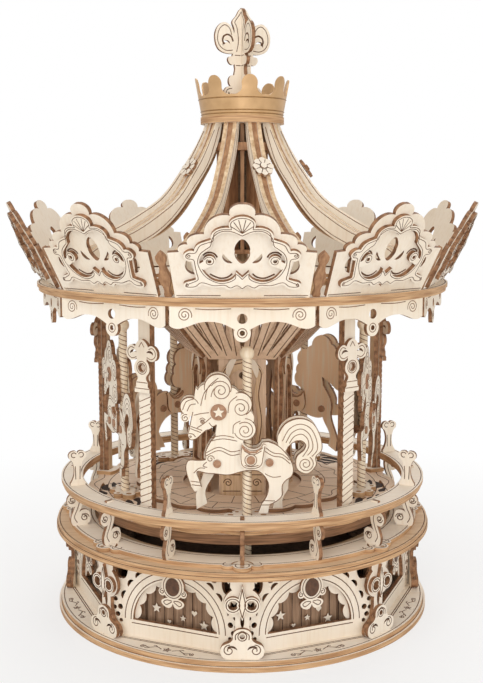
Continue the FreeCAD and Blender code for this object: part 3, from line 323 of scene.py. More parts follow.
class Finishes:
    """Every finish of the carousel, made once and shared."""

    def __init__(self) -> None:
        """Make the materials."""
        # Painted light: the big rims' cut edges take lighter tans than plain cut edges, for the light on
        # their front-lit sides.
        rim = {"edge_light": (0.855, 0.70, 0.53), "edge_dark": (0.65, 0.48, 0.33)}
        self.level = PlyFinish("level_ply", PlateLie.LEVEL, face=(0.985, 0.945, 0.89),
                               grain=(0.965, 0.91, 0.84), **rim).make()
        self.outward = PlyFinish("outward_ply", PlateLie.OUTWARD).make()
        self.radial = PlyFinish("radial_ply", PlateLie.RADIAL).make()
        # Painted shade: the horses' faces that look in to the axis are tinted tan for the shade that falls on
        # them.
        self.figure = PlyFinish("figure_ply", PlateLie.OUTWARD, face=(0.968, 0.928, 0.865),
                                back=(0.95, 0.83, 0.70)).make()
        self.toasted = PlainFinish("toasted_ply", (0.72, 0.55, 0.40), (0.54, 0.38, 0.26), 0.7, 0.0,
                                   (600.0, 600.0, 120.0)).make()
        tan = {"face": (0.885, 0.77, 0.64), "grain": (0.80, 0.665, 0.52)}
        self.tan_level = PlyFinish("tan_level_ply", PlateLie.LEVEL, **tan, **rim).make()
        boards = {"face": (0.98, 0.905, 0.825), "grain": (0.94, 0.84, 0.745)}
        self.floor = PlyFinish("floor_ply", PlateLie.LEVEL, **boards, **rim).make()
        self.step = PlyFinish("step_ply", PlateLie.LEVEL, **boards, edge_light=(0.62, 0.46, 0.33),
                              edge_dark=(0.40, 0.28, 0.19)).make()
        # Painted shade: a dark brown for the bearing plate and wave track, standing in for the shade down in
        # the well under the deck.
        self.shaded_well = PlainFinish("well_ply", (0.46, 0.35, 0.26), (0.33, 0.24, 0.17), 0.8).make()
        # Painted shade: the columns' backs, the drum's frames and panels and the flared panels stand in the
        # shaded inside, so their faces take browner tones.
        self.shaded_tan_outward = PlyFinish("tan_outward_ply", PlateLie.OUTWARD, **tan).make()
        self.shaded_dusky_outward = PlyFinish("dusky_outward_ply", PlateLie.OUTWARD, face=(0.93, 0.82, 0.715),
                                       grain=(0.86, 0.74, 0.62)).make()
        self.rib = PlyFinish("rib_ply", PlateLie.RADIAL, edge_light=(0.92, 0.82, 0.68),
                             edge_dark=(0.76, 0.62, 0.47)).make()
        # This dark brown colours the burnt lines and also the painted shade crescents in the cornice's
        # hollows.
        self.burnt = PlainFinish("burnt_line", (0.46, 0.31, 0.19), (0.31, 0.20, 0.12), 0.8).make()
        self.fine = PlainFinish("fine_burnt_line", (0.58, 0.43, 0.31), (0.45, 0.32, 0.22), 0.8).make()
        self.shade = PlainFinish("fold_shade", (0.24, 0.17, 0.13), (0.16, 0.11, 0.08), 0.9).make()
        self.inlay = PlainFinish("dark_inlay", (0.40, 0.27, 0.18), (0.29, 0.19, 0.12), 0.6).make()
        self.pole = PlainFinish("turned_wood", (0.965, 0.905, 0.81), (0.92, 0.83, 0.70), 0.55, 0.0,
                                (700.0, 700.0, 60.0)).make()
        self.stained = PlainFinish("stained_slats", (0.74, 0.61, 0.50), (0.56, 0.44, 0.34), 0.7, 0.0,
                                   (800.0, 800.0, 60.0)).make()
        self.gilt = PlainFinish("gilt_card", (0.82, 0.67, 0.49), (0.74, 0.59, 0.41), 0.42, 0.3,
                                (120.0, 120.0, 120.0)).make()
        self.gilt_dark = PlainFinish("gilt_bead", (0.66, 0.50, 0.29), (0.55, 0.40, 0.22), 0.42, 0.3).make()
        self.brass = PlainFinish("machined_brass", (0.86, 0.72, 0.42), (0.74, 0.58, 0.30), 0.32, 1.0).make()
        self.steel = PlainFinish("ground_steel", (0.74, 0.74, 0.75), (0.58, 0.58, 0.59), 0.34, 1.0,
                                 (60.0, 60.0, 900.0)).make()
        self.oiled = PlainFinish("oiled_steel", (0.60, 0.52, 0.43), (0.46, 0.39, 0.31), 0.45, 1.0).make()
        self.dowel = PlainFinish("dowel_end", (0.72, 0.56, 0.44), (0.58, 0.42, 0.31), 0.7).make()


def dress(finish: bpy.types.Material, *nodes: str) -> None:
    """Give CAD nodes a finish.

    Args:
        finish: The material.
        *nodes: Names of the nodes.
    """
    for name in nodes:
        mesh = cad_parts[name].data
        mesh.materials.clear()
        mesh.materials.append(finish)
        LOG.info("dressed %s in %s", name, finish.name)


def clear_selection() -> None:
    """Deselect everything, in object mode."""
    if bpy.context.object and bpy.context.object.mode != "OBJECT":
        bpy.ops.object.mode_set(mode="OBJECT")
    bpy.ops.object.select_all(action="DESELECT")


def hand_over(piece: bpy.types.Object, name: str, body: str, finish: bpy.types.Material) -> bpy.types.Object:
    """Name a finished piece, give it its finish and let it ride on a body.

    Args:
        piece: The finished object.
        name: Its name.
        body: The CAD body that it moves with.
        finish: Its material.

    Returns:
        The same object.
    """
    clear_selection()
    piece.select_set(True)
    bpy.context.view_layer.objects.active = piece
    bpy.ops.object.transform_apply(location=True, rotation=True, scale=True)
    piece.name = name
    piece.data.name = name
    piece.data.materials.clear()
    piece.data.materials.append(finish)
    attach(piece, body)
    LOG.info("built %s on %s with %d faces", name, body, len(piece.data.polygons))
    return piece


def merge(pieces: list[bpy.types.Object]) -> bpy.types.Object:
    """Join pieces into the first one.

    Args:
        pieces: The objects to join.

    Returns:
        The joined object, active and selected.
    """
    clear_selection()
    for piece in pieces:
        piece.select_set(True)
    bpy.context.view_layer.objects.active = pieces[0]
    if len(pieces) > 1:
        bpy.ops.object.join()
    return bpy.context.object


def spread(piece: bpy.types.Object, azimuths: list[float]) -> bpy.types.Object:
    """Repeat a piece made at the front round the axis, and join the copies into one mesh.

    Args:
        piece: The piece at the front.
        azimuths: Degrees from the front at which it stands.

    Returns:
        The joined object.
    """
    copies = []
    for azimuth in azimuths:
        copy = piece.copy()
        copy.data = piece.data.copy()
        copy.data.transform(Matrix.Rotation(math.radians(azimuth), 4, "Z"))
        bpy.context.scene.collection.objects.link(copy)
        copies.append(copy)
    bpy.data.objects.remove(piece)
    return merge(copies)


@dataclass(frozen=True)
class Seat:
    """Where a flat drawing lies on the carousel, at the front.

    Attributes:
        lie: How the drawn sheet lies.
        radius: Radius of an outward sheet's drawn face at its foot, or the offset of a radial sheet's.
        foot: Height of an outward sheet's drawing origin, or a level sheet's height.
        tilt: Degrees by which an outward sheet leans out.
        rise: How far the drawn face stands off that plane.
    """

    lie: PlateLie
    radius: float = 0.0
    foot: float = 0.0
    tilt: float = 0.0
    rise: float = 0.0

    def matrix(self) -> Matrix:
        """Matrix that takes a drawing in millimetres, standing up along Z, to its place in metres."""
        if self.lie is PlateLie.LEVEL:
            turned = Matrix.Translation((0, 0, self.foot))
        elif self.lie is PlateLie.OUTWARD:
            turned = Matrix.Translation((0, -self.radius, self.foot)) @ Matrix.Rotation(
                math.radians(90 + self.tilt), 4, "X")
        else:
            turned = Matrix(((0, 0, -1, self.radius), (-1, 0, 0, 0), (0, 1, 0, 0), (0, 0, 0, 1)))
        return Matrix.Scale(MM, 4) @ turned @ Matrix.Translation((0, 0, self.rise))


def meshed(curve: bpy.types.Curve) -> bpy.types.Object:
    """Turn a curve into an object with a mesh.

    Args:
        curve: The curve.

    Returns:
        The object, active and selected.
    """
    drawing = bpy.data.objects.new(curve.name, curve)
    bpy.context.scene.collection.objects.link(drawing)
    clear_selection()
    drawing.select_set(True)
    bpy.context.view_layer.objects.active = drawing
    bpy.ops.object.convert(target="MESH")
    return bpy.context.object


def engrave(strokes: list[Stroke], seat: Seat, width: float = BROAD_LINE,
            relief: float = LINE_RELIEF) -> bpy.types.Object:
    """Draw burnt lines as low ribbons on a sheet at the front.

    Args:
        strokes: Lines in millimetres on the sheet.
        seat: Where the sheet lies.
        width: Width of a line in millimetres.
        relief: How far a line stands up from the sheet, in millimetres.

    Returns:
        The object, a mesh in its place.
    """
    curve = bpy.data.curves.new("strokes", "CURVE")
    curve.dimensions = "3D"
    curve.bevel_depth = width / 2
    curve.bevel_resolution = 0
    curve.use_fill_caps = True
    for stroke in strokes:
        spline = curve.splines.new("POLY")
        spline.points.add(len(stroke) - 1)
        for point, (s, t) in zip(spline.points, stroke):
            point.co = (s, t, 0.0, 1.0)
    lines = meshed(curve)
    flatten = Matrix.Diagonal((1.0, 1.0, 2 * relief / width, 1.0))
    lines.data.transform(seat.matrix() @ flatten)
    return lines


def hoop(radius: float, height: float, relief: float = LINE_RELIEF, width: float = LINE,
         steps: int = 180) -> bpy.types.Object:
    """Draw a level line all round the axis.

    Args:
        radius: Its radius in millimetres.
        height: Height of its middle.
        relief: How far it stands up and down from there.
        width: Width of the line.
        steps: Straight bits that it is made of.

    Returns:
        The line, a mesh in its place.
    """
    return engrave([ring((0, 0), radius, steps=steps)], Seat(PlateLie.LEVEL, foot=height), width, relief)


def cut_plate(points: Stroke, thickness: float, seat: Seat) -> bpy.types.Object:
    """Saw a small flat plate to an outline and set it in its place at the front.

    Args:
        points: Corners of the outline in millimetres.
        thickness: Thickness of the plate, outwards from the seat.
        seat: Where its back lies.

    Returns:
        The plate.
    """
    clear_selection()
    bpy.ops.mesh.primitive_circle_add(vertices=len(points), radius=1.0, fill_type="NGON", location=(0, 0, 0))
    piece = bpy.context.object
    for vertex, (s, t) in zip(piece.data.vertices, points):
        vertex.co = (s, t, 0.0)
    bpy.ops.object.mode_set(mode="EDIT")
    bpy.ops.mesh.select_all(action="SELECT")
    bpy.ops.mesh.extrude_region_move(TRANSFORM_OT_translate={"value": (0, 0, thickness)})
    bpy.ops.mesh.select_all(action="SELECT")
    bpy.ops.mesh.normals_make_consistent(inside=False)
    bpy.ops.object.mode_set(mode="OBJECT")
    piece.data.transform(seat.matrix())
    return piece


def smooth(points: Stroke, steps: int = 5) -> Stroke:
    """Run a smooth line through points.

    Args:
        points: The points that it passes.
        steps: Straight bits between two of them.

    Returns:
        The finer line.
    """
    line = []
    for k in range(len(points) - 1):
        p0, p1 = points[max(k - 1, 0)], points[k]
        p2, p3 = points[k + 1], points[min(k + 2, len(points) - 1)]
        for j in range(steps):
            u = j / steps
            weights = (-0.5 * u + u * u - 0.5 * u ** 3, 1 - 2.5 * u * u + 1.5 * u ** 3,
                       0.5 * u + 2 * u * u - 1.5 * u ** 3, -0.5 * u * u + 0.5 * u ** 3)
            line.append(tuple(sum(w * p[i] for w, p in zip(weights, (p0, p1, p2, p3))) for i in (0, 1)))
    return line + [points[-1]]


def turned(centre: Point, radius: float, angle: float) -> Point:
    """Point at a radius from a centre, at an angle in radians from the right."""
    return (centre[0] + radius * math.cos(angle), centre[1] + radius * math.sin(angle))


def polar(radius: float, angle: float) -> Point:
    """Point on a level sheet at a radius from the axis, at an angle in radians from the front."""
    return (radius * math.sin(angle), -radius * math.cos(angle))


def ring(centre: Point, radius: float, start: float = 0.0, end: float = 360.0, steps: int = 28) -> Stroke:
    """Draw a circle or part of one, in degrees from the right."""
    angles = [math.radians(start + (end - start) * k / steps) for k in range(steps + 1)]
    return [turned(centre, radius, a) for a in angles]


def spiral(centre: Point, outer: float, inner: float, start: float, turns: float) -> Stroke:
    """Draw a spiral from its outer end inwards.

    Args:
        centre: Its middle.
        outer: Radius at the outer end.
        inner: Radius at the inner end.
        start: Degrees from the right at the outer end.
        turns: Turns, negative for clockwise.

    Returns:
        The line.
    """
    steps = max(10, int(abs(turns) * 20))
    line = []
    for k in range(steps + 1):
        share = k / steps
        angle = math.radians(start + 360 * turns * share)
        radius = outer + (inner - outer) * share
        line.append(turned(centre, radius, angle))
    return line


def oval(centre: Point, half_s: float, half_t: float, steps: int = 28) -> Stroke:
    """Outline of an oval, without its first point again at the end."""
    angles = [2 * math.pi * k / steps for k in range(steps)]
    return [(centre[0] + half_s * math.cos(a), centre[1] + half_t * math.sin(a)) for a in angles]


def star(centre: Point, reach: float, tips: int = 5) -> Stroke:
    """Outline of a star that stands on two of its tips."""
    line = []
    for k in range(2 * tips):
        radius = reach * (0.45 if k % 2 else 1.0)
        angle = math.pi / 2 + math.pi * k / tips
        line.append(turned(centre, radius, angle))
    return line


def heart(centre: Point, size: float) -> Stroke:
    """Outline of a heart with its point down."""
    line = []
    for k in range(20):
        a = 2 * math.pi * k / 20
        s = 16 * math.sin(a) ** 3
        t = 13 * math.cos(a) - 5 * math.cos(2 * a) - 2 * math.cos(3 * a) - math.cos(4 * a)
        line.append((centre[0] - s * size / 34, centre[1] + t * size / 34))
    return line


def flipped(strokes: list[Stroke]) -> list[Stroke]:
    """Strokes together with their mirror images about s = 0."""
    return strokes + [[(-s, t) for s, t in stroke] for stroke in strokes]


def around(count: int, first: float = 0.0) -> list[float]:
    """Evenly spaced azimuths in degrees, from the first one on."""
    return [first + 360.0 / count * k for k in range(count)]


@dataclass
class Base:
    """The arcaded base with its curtains, deck and rail."""

    finishes: Finishes
    sides: int = 8
    panel_face: float = 87.0
    pilaster_face: float = 98.2
    medallion_face: float = 88.5
    inlay_half: Pair = (3.7, 4.6)
    inlay_rise: float = 0.4
    border_half: Pair = (5.0, 5.7)
    folds: int = 9
    fold_r: float = 77.0
    fold_first: float = -20.8
    fold_pitch: float = 5.2
    fold_span: Pair = (7.6, 39.6)
    charm_r: float = 79.45
    charm_rise: float = 1.0
    arch: Point = (0.0, 13.5)
    boss_z: float = 34.3
    ledge_z: float = 5.0
    deck_z: float = 50.6
    rail_z: float = 72.3
    charms: list[tuple[str, float, float, float]] = field(default_factory=lambda: [
        ("star", -13.0, 18.6, 2.7), ("heart", 7.8, 19.0, 3.4), ("star", 13.0, 13.4, 2.6),
        ("heart", -6.0, 12.6, 2.4), ("star", 1.6, 15.4, 1.8)])

    @property
    def arches(self) -> list[float]:
        """Azimuths of the arches and tall posts, in degrees."""
        return around(self.sides, 180.0 / self.sides)

    def dress(self) -> None:
        """Give the base's CAD nodes their finishes and add its drawn and inlaid details."""
        f = self.finishes
        dress(f.level, "base_foot_ring", "base_plinth_plate", "deck_scallop_ring", "handrail_rings")
        dress(f.tan_level, "deck_rings", "movement_floor")
        # The bearing plate and wave track are coloured dark as painted shade of the well.
        dress(f.shaded_well, "bearing_plate", "wave_track")
        dress(f.outward, "facade_panels", "arch_trims", "arch_medallions", "pilasters", "pilaster_scrolls")
        dress(f.radial, "rail_posts")
        dress(f.stained, "curtains")
        dress(f.dowel, "plate_legs")
        dress(f.brass, "thrust_bearing", "movement_bedplate")
        dress(f.steel, "music_comb")
        self.facade()
        self.medallions()
        self.curtain()
        self.ledge()
        self.rims()
        self.post_scrolls()

    def facade(self) -> None:
        """Draw the arches' double line and the pilasters' scrolls."""
        arch = [ring(self.arch, 24.0, 0, 180), ring(self.arch, 27.3, 0, 180), [(-23.6, 11.8), (23.6, 11.8)]]
        piece = spread(engrave(arch, Seat(PlateLie.OUTWARD, self.panel_face), LINE), self.arches)
        hand_over(piece, "arch_lines", "base", self.finishes.burnt)
        scrolls = flipped([spiral((6.3, 9.3), 2.8, 0.5, 100, -1.4), ring((4.4, 31.6), 3.25),
                           [(0, 25.4), (1.6, 31.6), (0, 39.8)],
                           smooth([(3.2, 14.6), (3.0, 17.2), (0, 19.0)])])
        scrolls += [ring((0, 16.2), 2.1)]
        piece = spread(engrave(scrolls, Seat(PlateLie.OUTWARD, self.pilaster_face), LINE), around(self.sides))
        hand_over(piece, "pilaster_lines", "base", self.finishes.burnt)

    def medallions(self) -> None:
        """Lay a plain dark oval into each medallion and draw its border and bow."""
        seat = Seat(PlateLie.OUTWARD, self.medallion_face)
        inlay = cut_plate(oval((0, self.boss_z), *self.inlay_half), self.inlay_rise, seat)
        hand_over(spread(inlay, self.arches), "medallion_inlays", "base", self.finishes.inlay)
        z = self.boss_z
        lines = [oval((0, z), *self.border_half) + [(self.border_half[0], z)]]
        lines += flipped([smooth([(0.5, z - 7.2), (3.2, z - 7.0), (4.9, z - 8.2), (3.4, z - 9.4),
                                  (0.5, z - 7.6)]),
                          spiral((5.7, z - 3.0), 1.4, 0.3, 90, -1.2)])
        piece = spread(engrave(lines, seat, THIN_LINE), self.arches)
        hand_over(piece, "medallion_lines", "base", self.finishes.burnt)

    def curtain(self) -> None:
        """Paint shade into the curtains' inner folds as dark lines and hang pale stars and hearts before
        them.
        """
        low, high = self.fold_span
        places = [self.fold_first + self.fold_pitch * k for k in range(self.folds)]
        lines = [[(s, low), (s, high)] for s in places]
        piece = engrave(lines, Seat(PlateLie.OUTWARD, self.fold_r), BOLD_LINE, FOLD_RELIEF)
        hand_over(spread(piece, self.arches), "curtain_folds", "base", self.finishes.shade)
        seat = Seat(PlateLie.OUTWARD, self.charm_r)
        for count, (kind, s, t, size) in enumerate(self.charms, 1):
            shape = star((s, t), size) if kind == "star" else heart((s, t), size)
            charm = spread(cut_plate(shape, self.charm_rise, seat), self.arches)
            hand_over(charm, f"curtain_charm_{count}", "base", self.finishes.outward)

    def ledge(self) -> None:
        """Draw the ledge's straight lines and a small flower spray in front of each arch."""
        lines = [[(-37.0, -89.6), (37.0, -89.6)], [(-37.4, -90.7), (37.4, -90.7)]]
        bloom = star((0, -95.4), 2.1)
        spray = [bloom + bloom[:1], ring((0, -95.4), 0.5, steps=10)]
        spray += flipped([smooth([(2.8, -95.6), (6.0, -94.0), (9.4, -95.8), (12.4, -94.6)]),
                          spiral((13.0, -95.6), 1.3, 0.3, 90, -1.3),
                          smooth([(5.6, -94.2), (7.0, -92.9), (8.2, -93.2)]),
                          smooth([(9.0, -95.7), (10.4, -96.9), (11.6, -96.6)])])
        piece = spread(engrave(lines + spray, Seat(PlateLie.LEVEL, foot=self.ledge_z), BROAD_LINE),
                       self.arches)
        hand_over(piece, "ledge_lines", "base", self.finishes.burnt)

    def rims(self) -> None:
        """Draw the lines that run round the ledge, deck and rail, and the seams between their sheets."""
        tongue = [ring((0, -96.4), 3.3, 150, 390), ring((6.8, -94.2), 2.3, -150, 60),
                  ring((-6.8, -94.2), 2.3, 120, 330)]
        piece = spread(engrave(tongue, Seat(PlateLie.LEVEL, foot=self.deck_z), LINE), around(self.sides))
        hand_over(piece, "tongue_lines", "base", self.finishes.burnt)
        rings = ((self.ledge_z, 99.6), (self.deck_z, 84.0), (self.deck_z, 94.6), (self.rail_z, 98.5),
                 (self.rail_z, 89.2), (48.6, 101.0))
        seams = ((2.5, 101.05), (46.7, 102.15), (70.3, 98.85))
        pieces = [hoop(r, z) for z, r in rings] + [hoop(r, z, SEAM_RELIEF) for z, r in seams]
        hand_over(merge(pieces), "rim_lines", "base", self.finishes.burnt)

    def post_scrolls(self) -> None:
        """Draw the scrolls of the rail posts on both faces, with a cloud on every other one."""
        bracket = [spiral((90.3, 54.6), 2.3, 0.4, 180, -1.5), spiral((96.8, 64.4), 1.9, 0.4, 0, -1.5),
                   smooth([(94.4, 52.2), (95.8, 55.4), (94.2, 59.4), (93.0, 63.4), (93.6, 66.6)])]
        cloud = [ring((91.6, 88.6), 1.3, 20, 300), ring((95.4, 88.6), 1.3, 240, 520),
                 [(92.4, 75.6), (92.2, 82.6)], [(94.6, 75.6), (94.8, 82.6)]]
        pieces = []
        for lines, azimuths in ((bracket, around(2 * self.sides)), (cloud, self.arches)):
            faces = [engrave(lines, Seat(PlateLie.RADIAL, side), THIN_LINE)
                     for side in (HALF_SHEET, -HALF_SHEET)]
            pieces.append(spread(merge(faces), azimuths))
        hand_over(merge(pieces), "post_lines", "base", self.finishes.burnt)


@dataclass
class Movement:
    """The wind-up movement in the base."""

    finishes: Finishes

    def dress(self) -> None:
        """Give the movement's CAD nodes their finishes."""
        dress(self.finishes.brass, "mainspring_barrel", "barrel_gear", "music_cylinder", "cylinder_pinion",
              "governor_wheel", "governor_fly", "winding_key", "shaft_pinion")
        dress(self.finishes.oiled, "main_shaft")


@dataclass
class Turntable:
    """The turning floor with its columns and the centre drum."""

    finishes: Finishes
    columns: int = 5
    column_face: float = 84.5
    capital_face: float = 86.5
    floor_z: float = 63.5
    floor_r: float = 85.5
    step_z: float = 65.5
    step_r: float = 59.0
    lobes: int = 20
    lobe_depth: float = 3.3
    lobe_steps: int = 6
    floor_inset: float = 3.0
    floor_ring: float = 74.6
    step_inset: float = 2.4
    step_ring: float = 46.0
    inner_boards: Pair = (34.0, 45.6)
    outer_boards: Pair = (46.4, 56.0)
    floor_boards: Pair = (59.6, 74.2)
    scroll_rise: float = 0.15
    rope_from: float = 67.0
    rope_to: float = 128.0
    rope_pitch: float = 3.4
    frame_face: float = 26.0
    leaf_rise: float = 0.8
    flare_foot: Pair = (26.0, 139.0)
    flare_tilt: float = 41.69
    flare_rise: float = 2.0

    def dress(self) -> None:
        """Give the turntable's CAD nodes their finishes and draw its lines."""
        f = self.finishes
        dress(f.floor, "turntable_floor")
        dress(f.step, "turntable_layers")
        dress(f.tan_level, "drum_cap")
        dress(f.level, "floor_collars")
        dress(f.outward, "column_fronts", "column_capitals")
        # The columns' backs, drum frames and panels and flared panels take the browner finishes, painted
        # shade of the inside.
        dress(f.shaded_tan_outward, "column_backs", "drum_frames")
        dress(f.shaded_dusky_outward, "drum_panels", "flare_panels")
        self.column_lines()
        self.floor_lines()
        self.floor_scroll_shade()
        self.drum_lines()

    def column_lines(self) -> None:
        """Draw the columns' rope and the capitals' scrolls."""
        strands = []
        z = self.rope_from
        while z < self.rope_to:
            strands.append([(-3.3, z - 1.5), (3.3, z + 1.5)])
            z += self.rope_pitch
        rope = engrave(strands, Seat(PlateLie.OUTWARD, self.column_face), FINE_LINE)
        lily = [ring((0, 140.6), 3.1), ring((0, 140.6), 2.2), [(-4.4, 130.4), (4.4, 130.4)],
                [(-3.4, 133.4), (3.4, 133.4)]]
        lily += flipped([smooth([(3.2, 145.8), (5.8, 145.0), (8.0, 146.2), (8.4, 148.6), (6.6, 150.4),
                                 (4.4, 149.8)]),
                         [(1.6, 150.6), (0, 153.0)]])
        capital = engrave(lily, Seat(PlateLie.OUTWARD, self.capital_face), FINE_LINE)
        piece = spread(merge([rope, capital]), around(self.columns, RIDE_TURN + 180.0 / self.columns))
        hand_over(piece, "column_lines", "carousel", self.finishes.fine)

    def lobed_line(self, peak: float) -> Stroke:
        """Closed line that follows the lobes of the floor at the given outer radius."""
        line = []
        for k in range(self.lobes * self.lobe_steps + 1):
            angle = math.radians(360.0 / self.lobes * k / self.lobe_steps)
            radius = peak - self.lobe_depth * (0.5 - 0.5 * math.cos(2 * math.pi * k / self.lobe_steps))
            line.append(polar(radius, angle))
        return line

    def floor_lines(self) -> None:
        """Draw the lobes and boards of the floor and of the raised step on it."""
        floor = [self.lobed_line(self.floor_r - self.floor_inset), ring((0, 0), self.floor_ring, steps=120)]
        boards = [self.lobed_line(self.step_r - self.step_inset), ring((0, 0), self.step_ring, steps=90)]
        for k in range(self.lobes):
            between = math.radians(360.0 / self.lobes * (k + 0.5))
            boards.append([polar(r, between) for r in self.inner_boards])
            tip = math.radians(360.0 / self.lobes * k)
            boards.append([polar(r, tip) for r in self.outer_boards])
            floor.append([polar(r, tip) for r in self.floor_boards])
        seats = ((floor, self.floor_z), (boards, self.step_z))
        pieces = [engrave(lines, Seat(PlateLie.LEVEL, foot=foot), THIN_LINE) for lines, foot in seats]
        hand_over(spread(merge(pieces), [RIDE_TURN]), "floor_lines", "carousel", self.finishes.burnt)

    def floor_scroll_shade(self) -> None:
        """Lay dark plates into the floor on both sides of every pole, painted shade for the dark openings of
        its scrollwork.
        """
        leaves = [[(8.6, -73.5), (12.5, -76.6), (17.8, -76.0), (21.6, -71.4), (16.6, -73.0), (12.2, -72.0)],
                  [(8.8, -62.0), (13.0, -60.9), (18.8, -62.2), (22.2, -66.2), (16.4, -64.6), (12.0, -65.6)],
                  [(10.8, -68.0), (14.2, -70.4), (19.8, -70.0), (24.6, -67.8), (18.6, -67.0), (14.2, -66.8)],
                  [(2.4, -76.6), (5.4, -79.2), (10.6, -78.6), (8.4, -76.8), (5.2, -75.6)]]
        outlines = flipped([smooth(leaf + leaf[:1], 4)[:-1] for leaf in leaves])
        seat = Seat(PlateLie.LEVEL, foot=self.floor_z)
        shade_plates = merge([cut_plate(outline, self.scroll_rise, seat) for outline in outlines])
        hand_over(spread(shade_plates, around(self.columns, RIDE_TURN)), "floor_scroll_shade", "carousel",
                  self.finishes.shade)

    def drum_lines(self) -> None:
        """Draw the drum frames' borders and the rays of the flared panels."""
        border = flipped([smooth([(0, 135.6), (6.8, 133.6), (10.0, 129.6), (8.6, 118), (10.2, 104),
                                  (8.6, 90), (9.6, 78.2)]),
                          spiral((7.6, 70.6), 2.4, 0.4, 0, 1.5),
                          [(1.0, 66.0), (10.4, 66.0)], [(1.0, 75.0), (10.4, 75.0)]])
        seat = Seat(PlateLie.OUTWARD, self.frame_face)
        drum = engrave(border, seat, LINE)
        rays = flipped([[(16.4, 1.4), (37.4, 44.8)], smooth([(3.0, 3), (4.6, 20), (6.0, 42)]),
                        smooth([(8.2, 3), (12.4, 22), (16.8, 42)]),
                        smooth([(12.8, 3), (19.6, 22), (26.6, 42)])])
        radius, foot = self.flare_foot
        flare = engrave(rays, Seat(PlateLie.OUTWARD, radius, foot, self.flare_tilt, self.flare_rise), LINE)
        hand_over(spread(merge([drum, flare]), around(self.columns)), "drum_lines", "carousel",
                  self.finishes.burnt)
        leaf = smooth([(2.6, 138.4), (6.4, 137.0), (8.6, 132.6), (7.6, 127.6), (5.6, 131.6), (2.6, 138.4)],
                      4)[:-1]
        pair = [cut_plate(points, self.leaf_rise, seat) for points in flipped([leaf])]
        hand_over(spread(merge(pair), around(self.columns)), "drum_leaves", "carousel", self.finishes.outward)


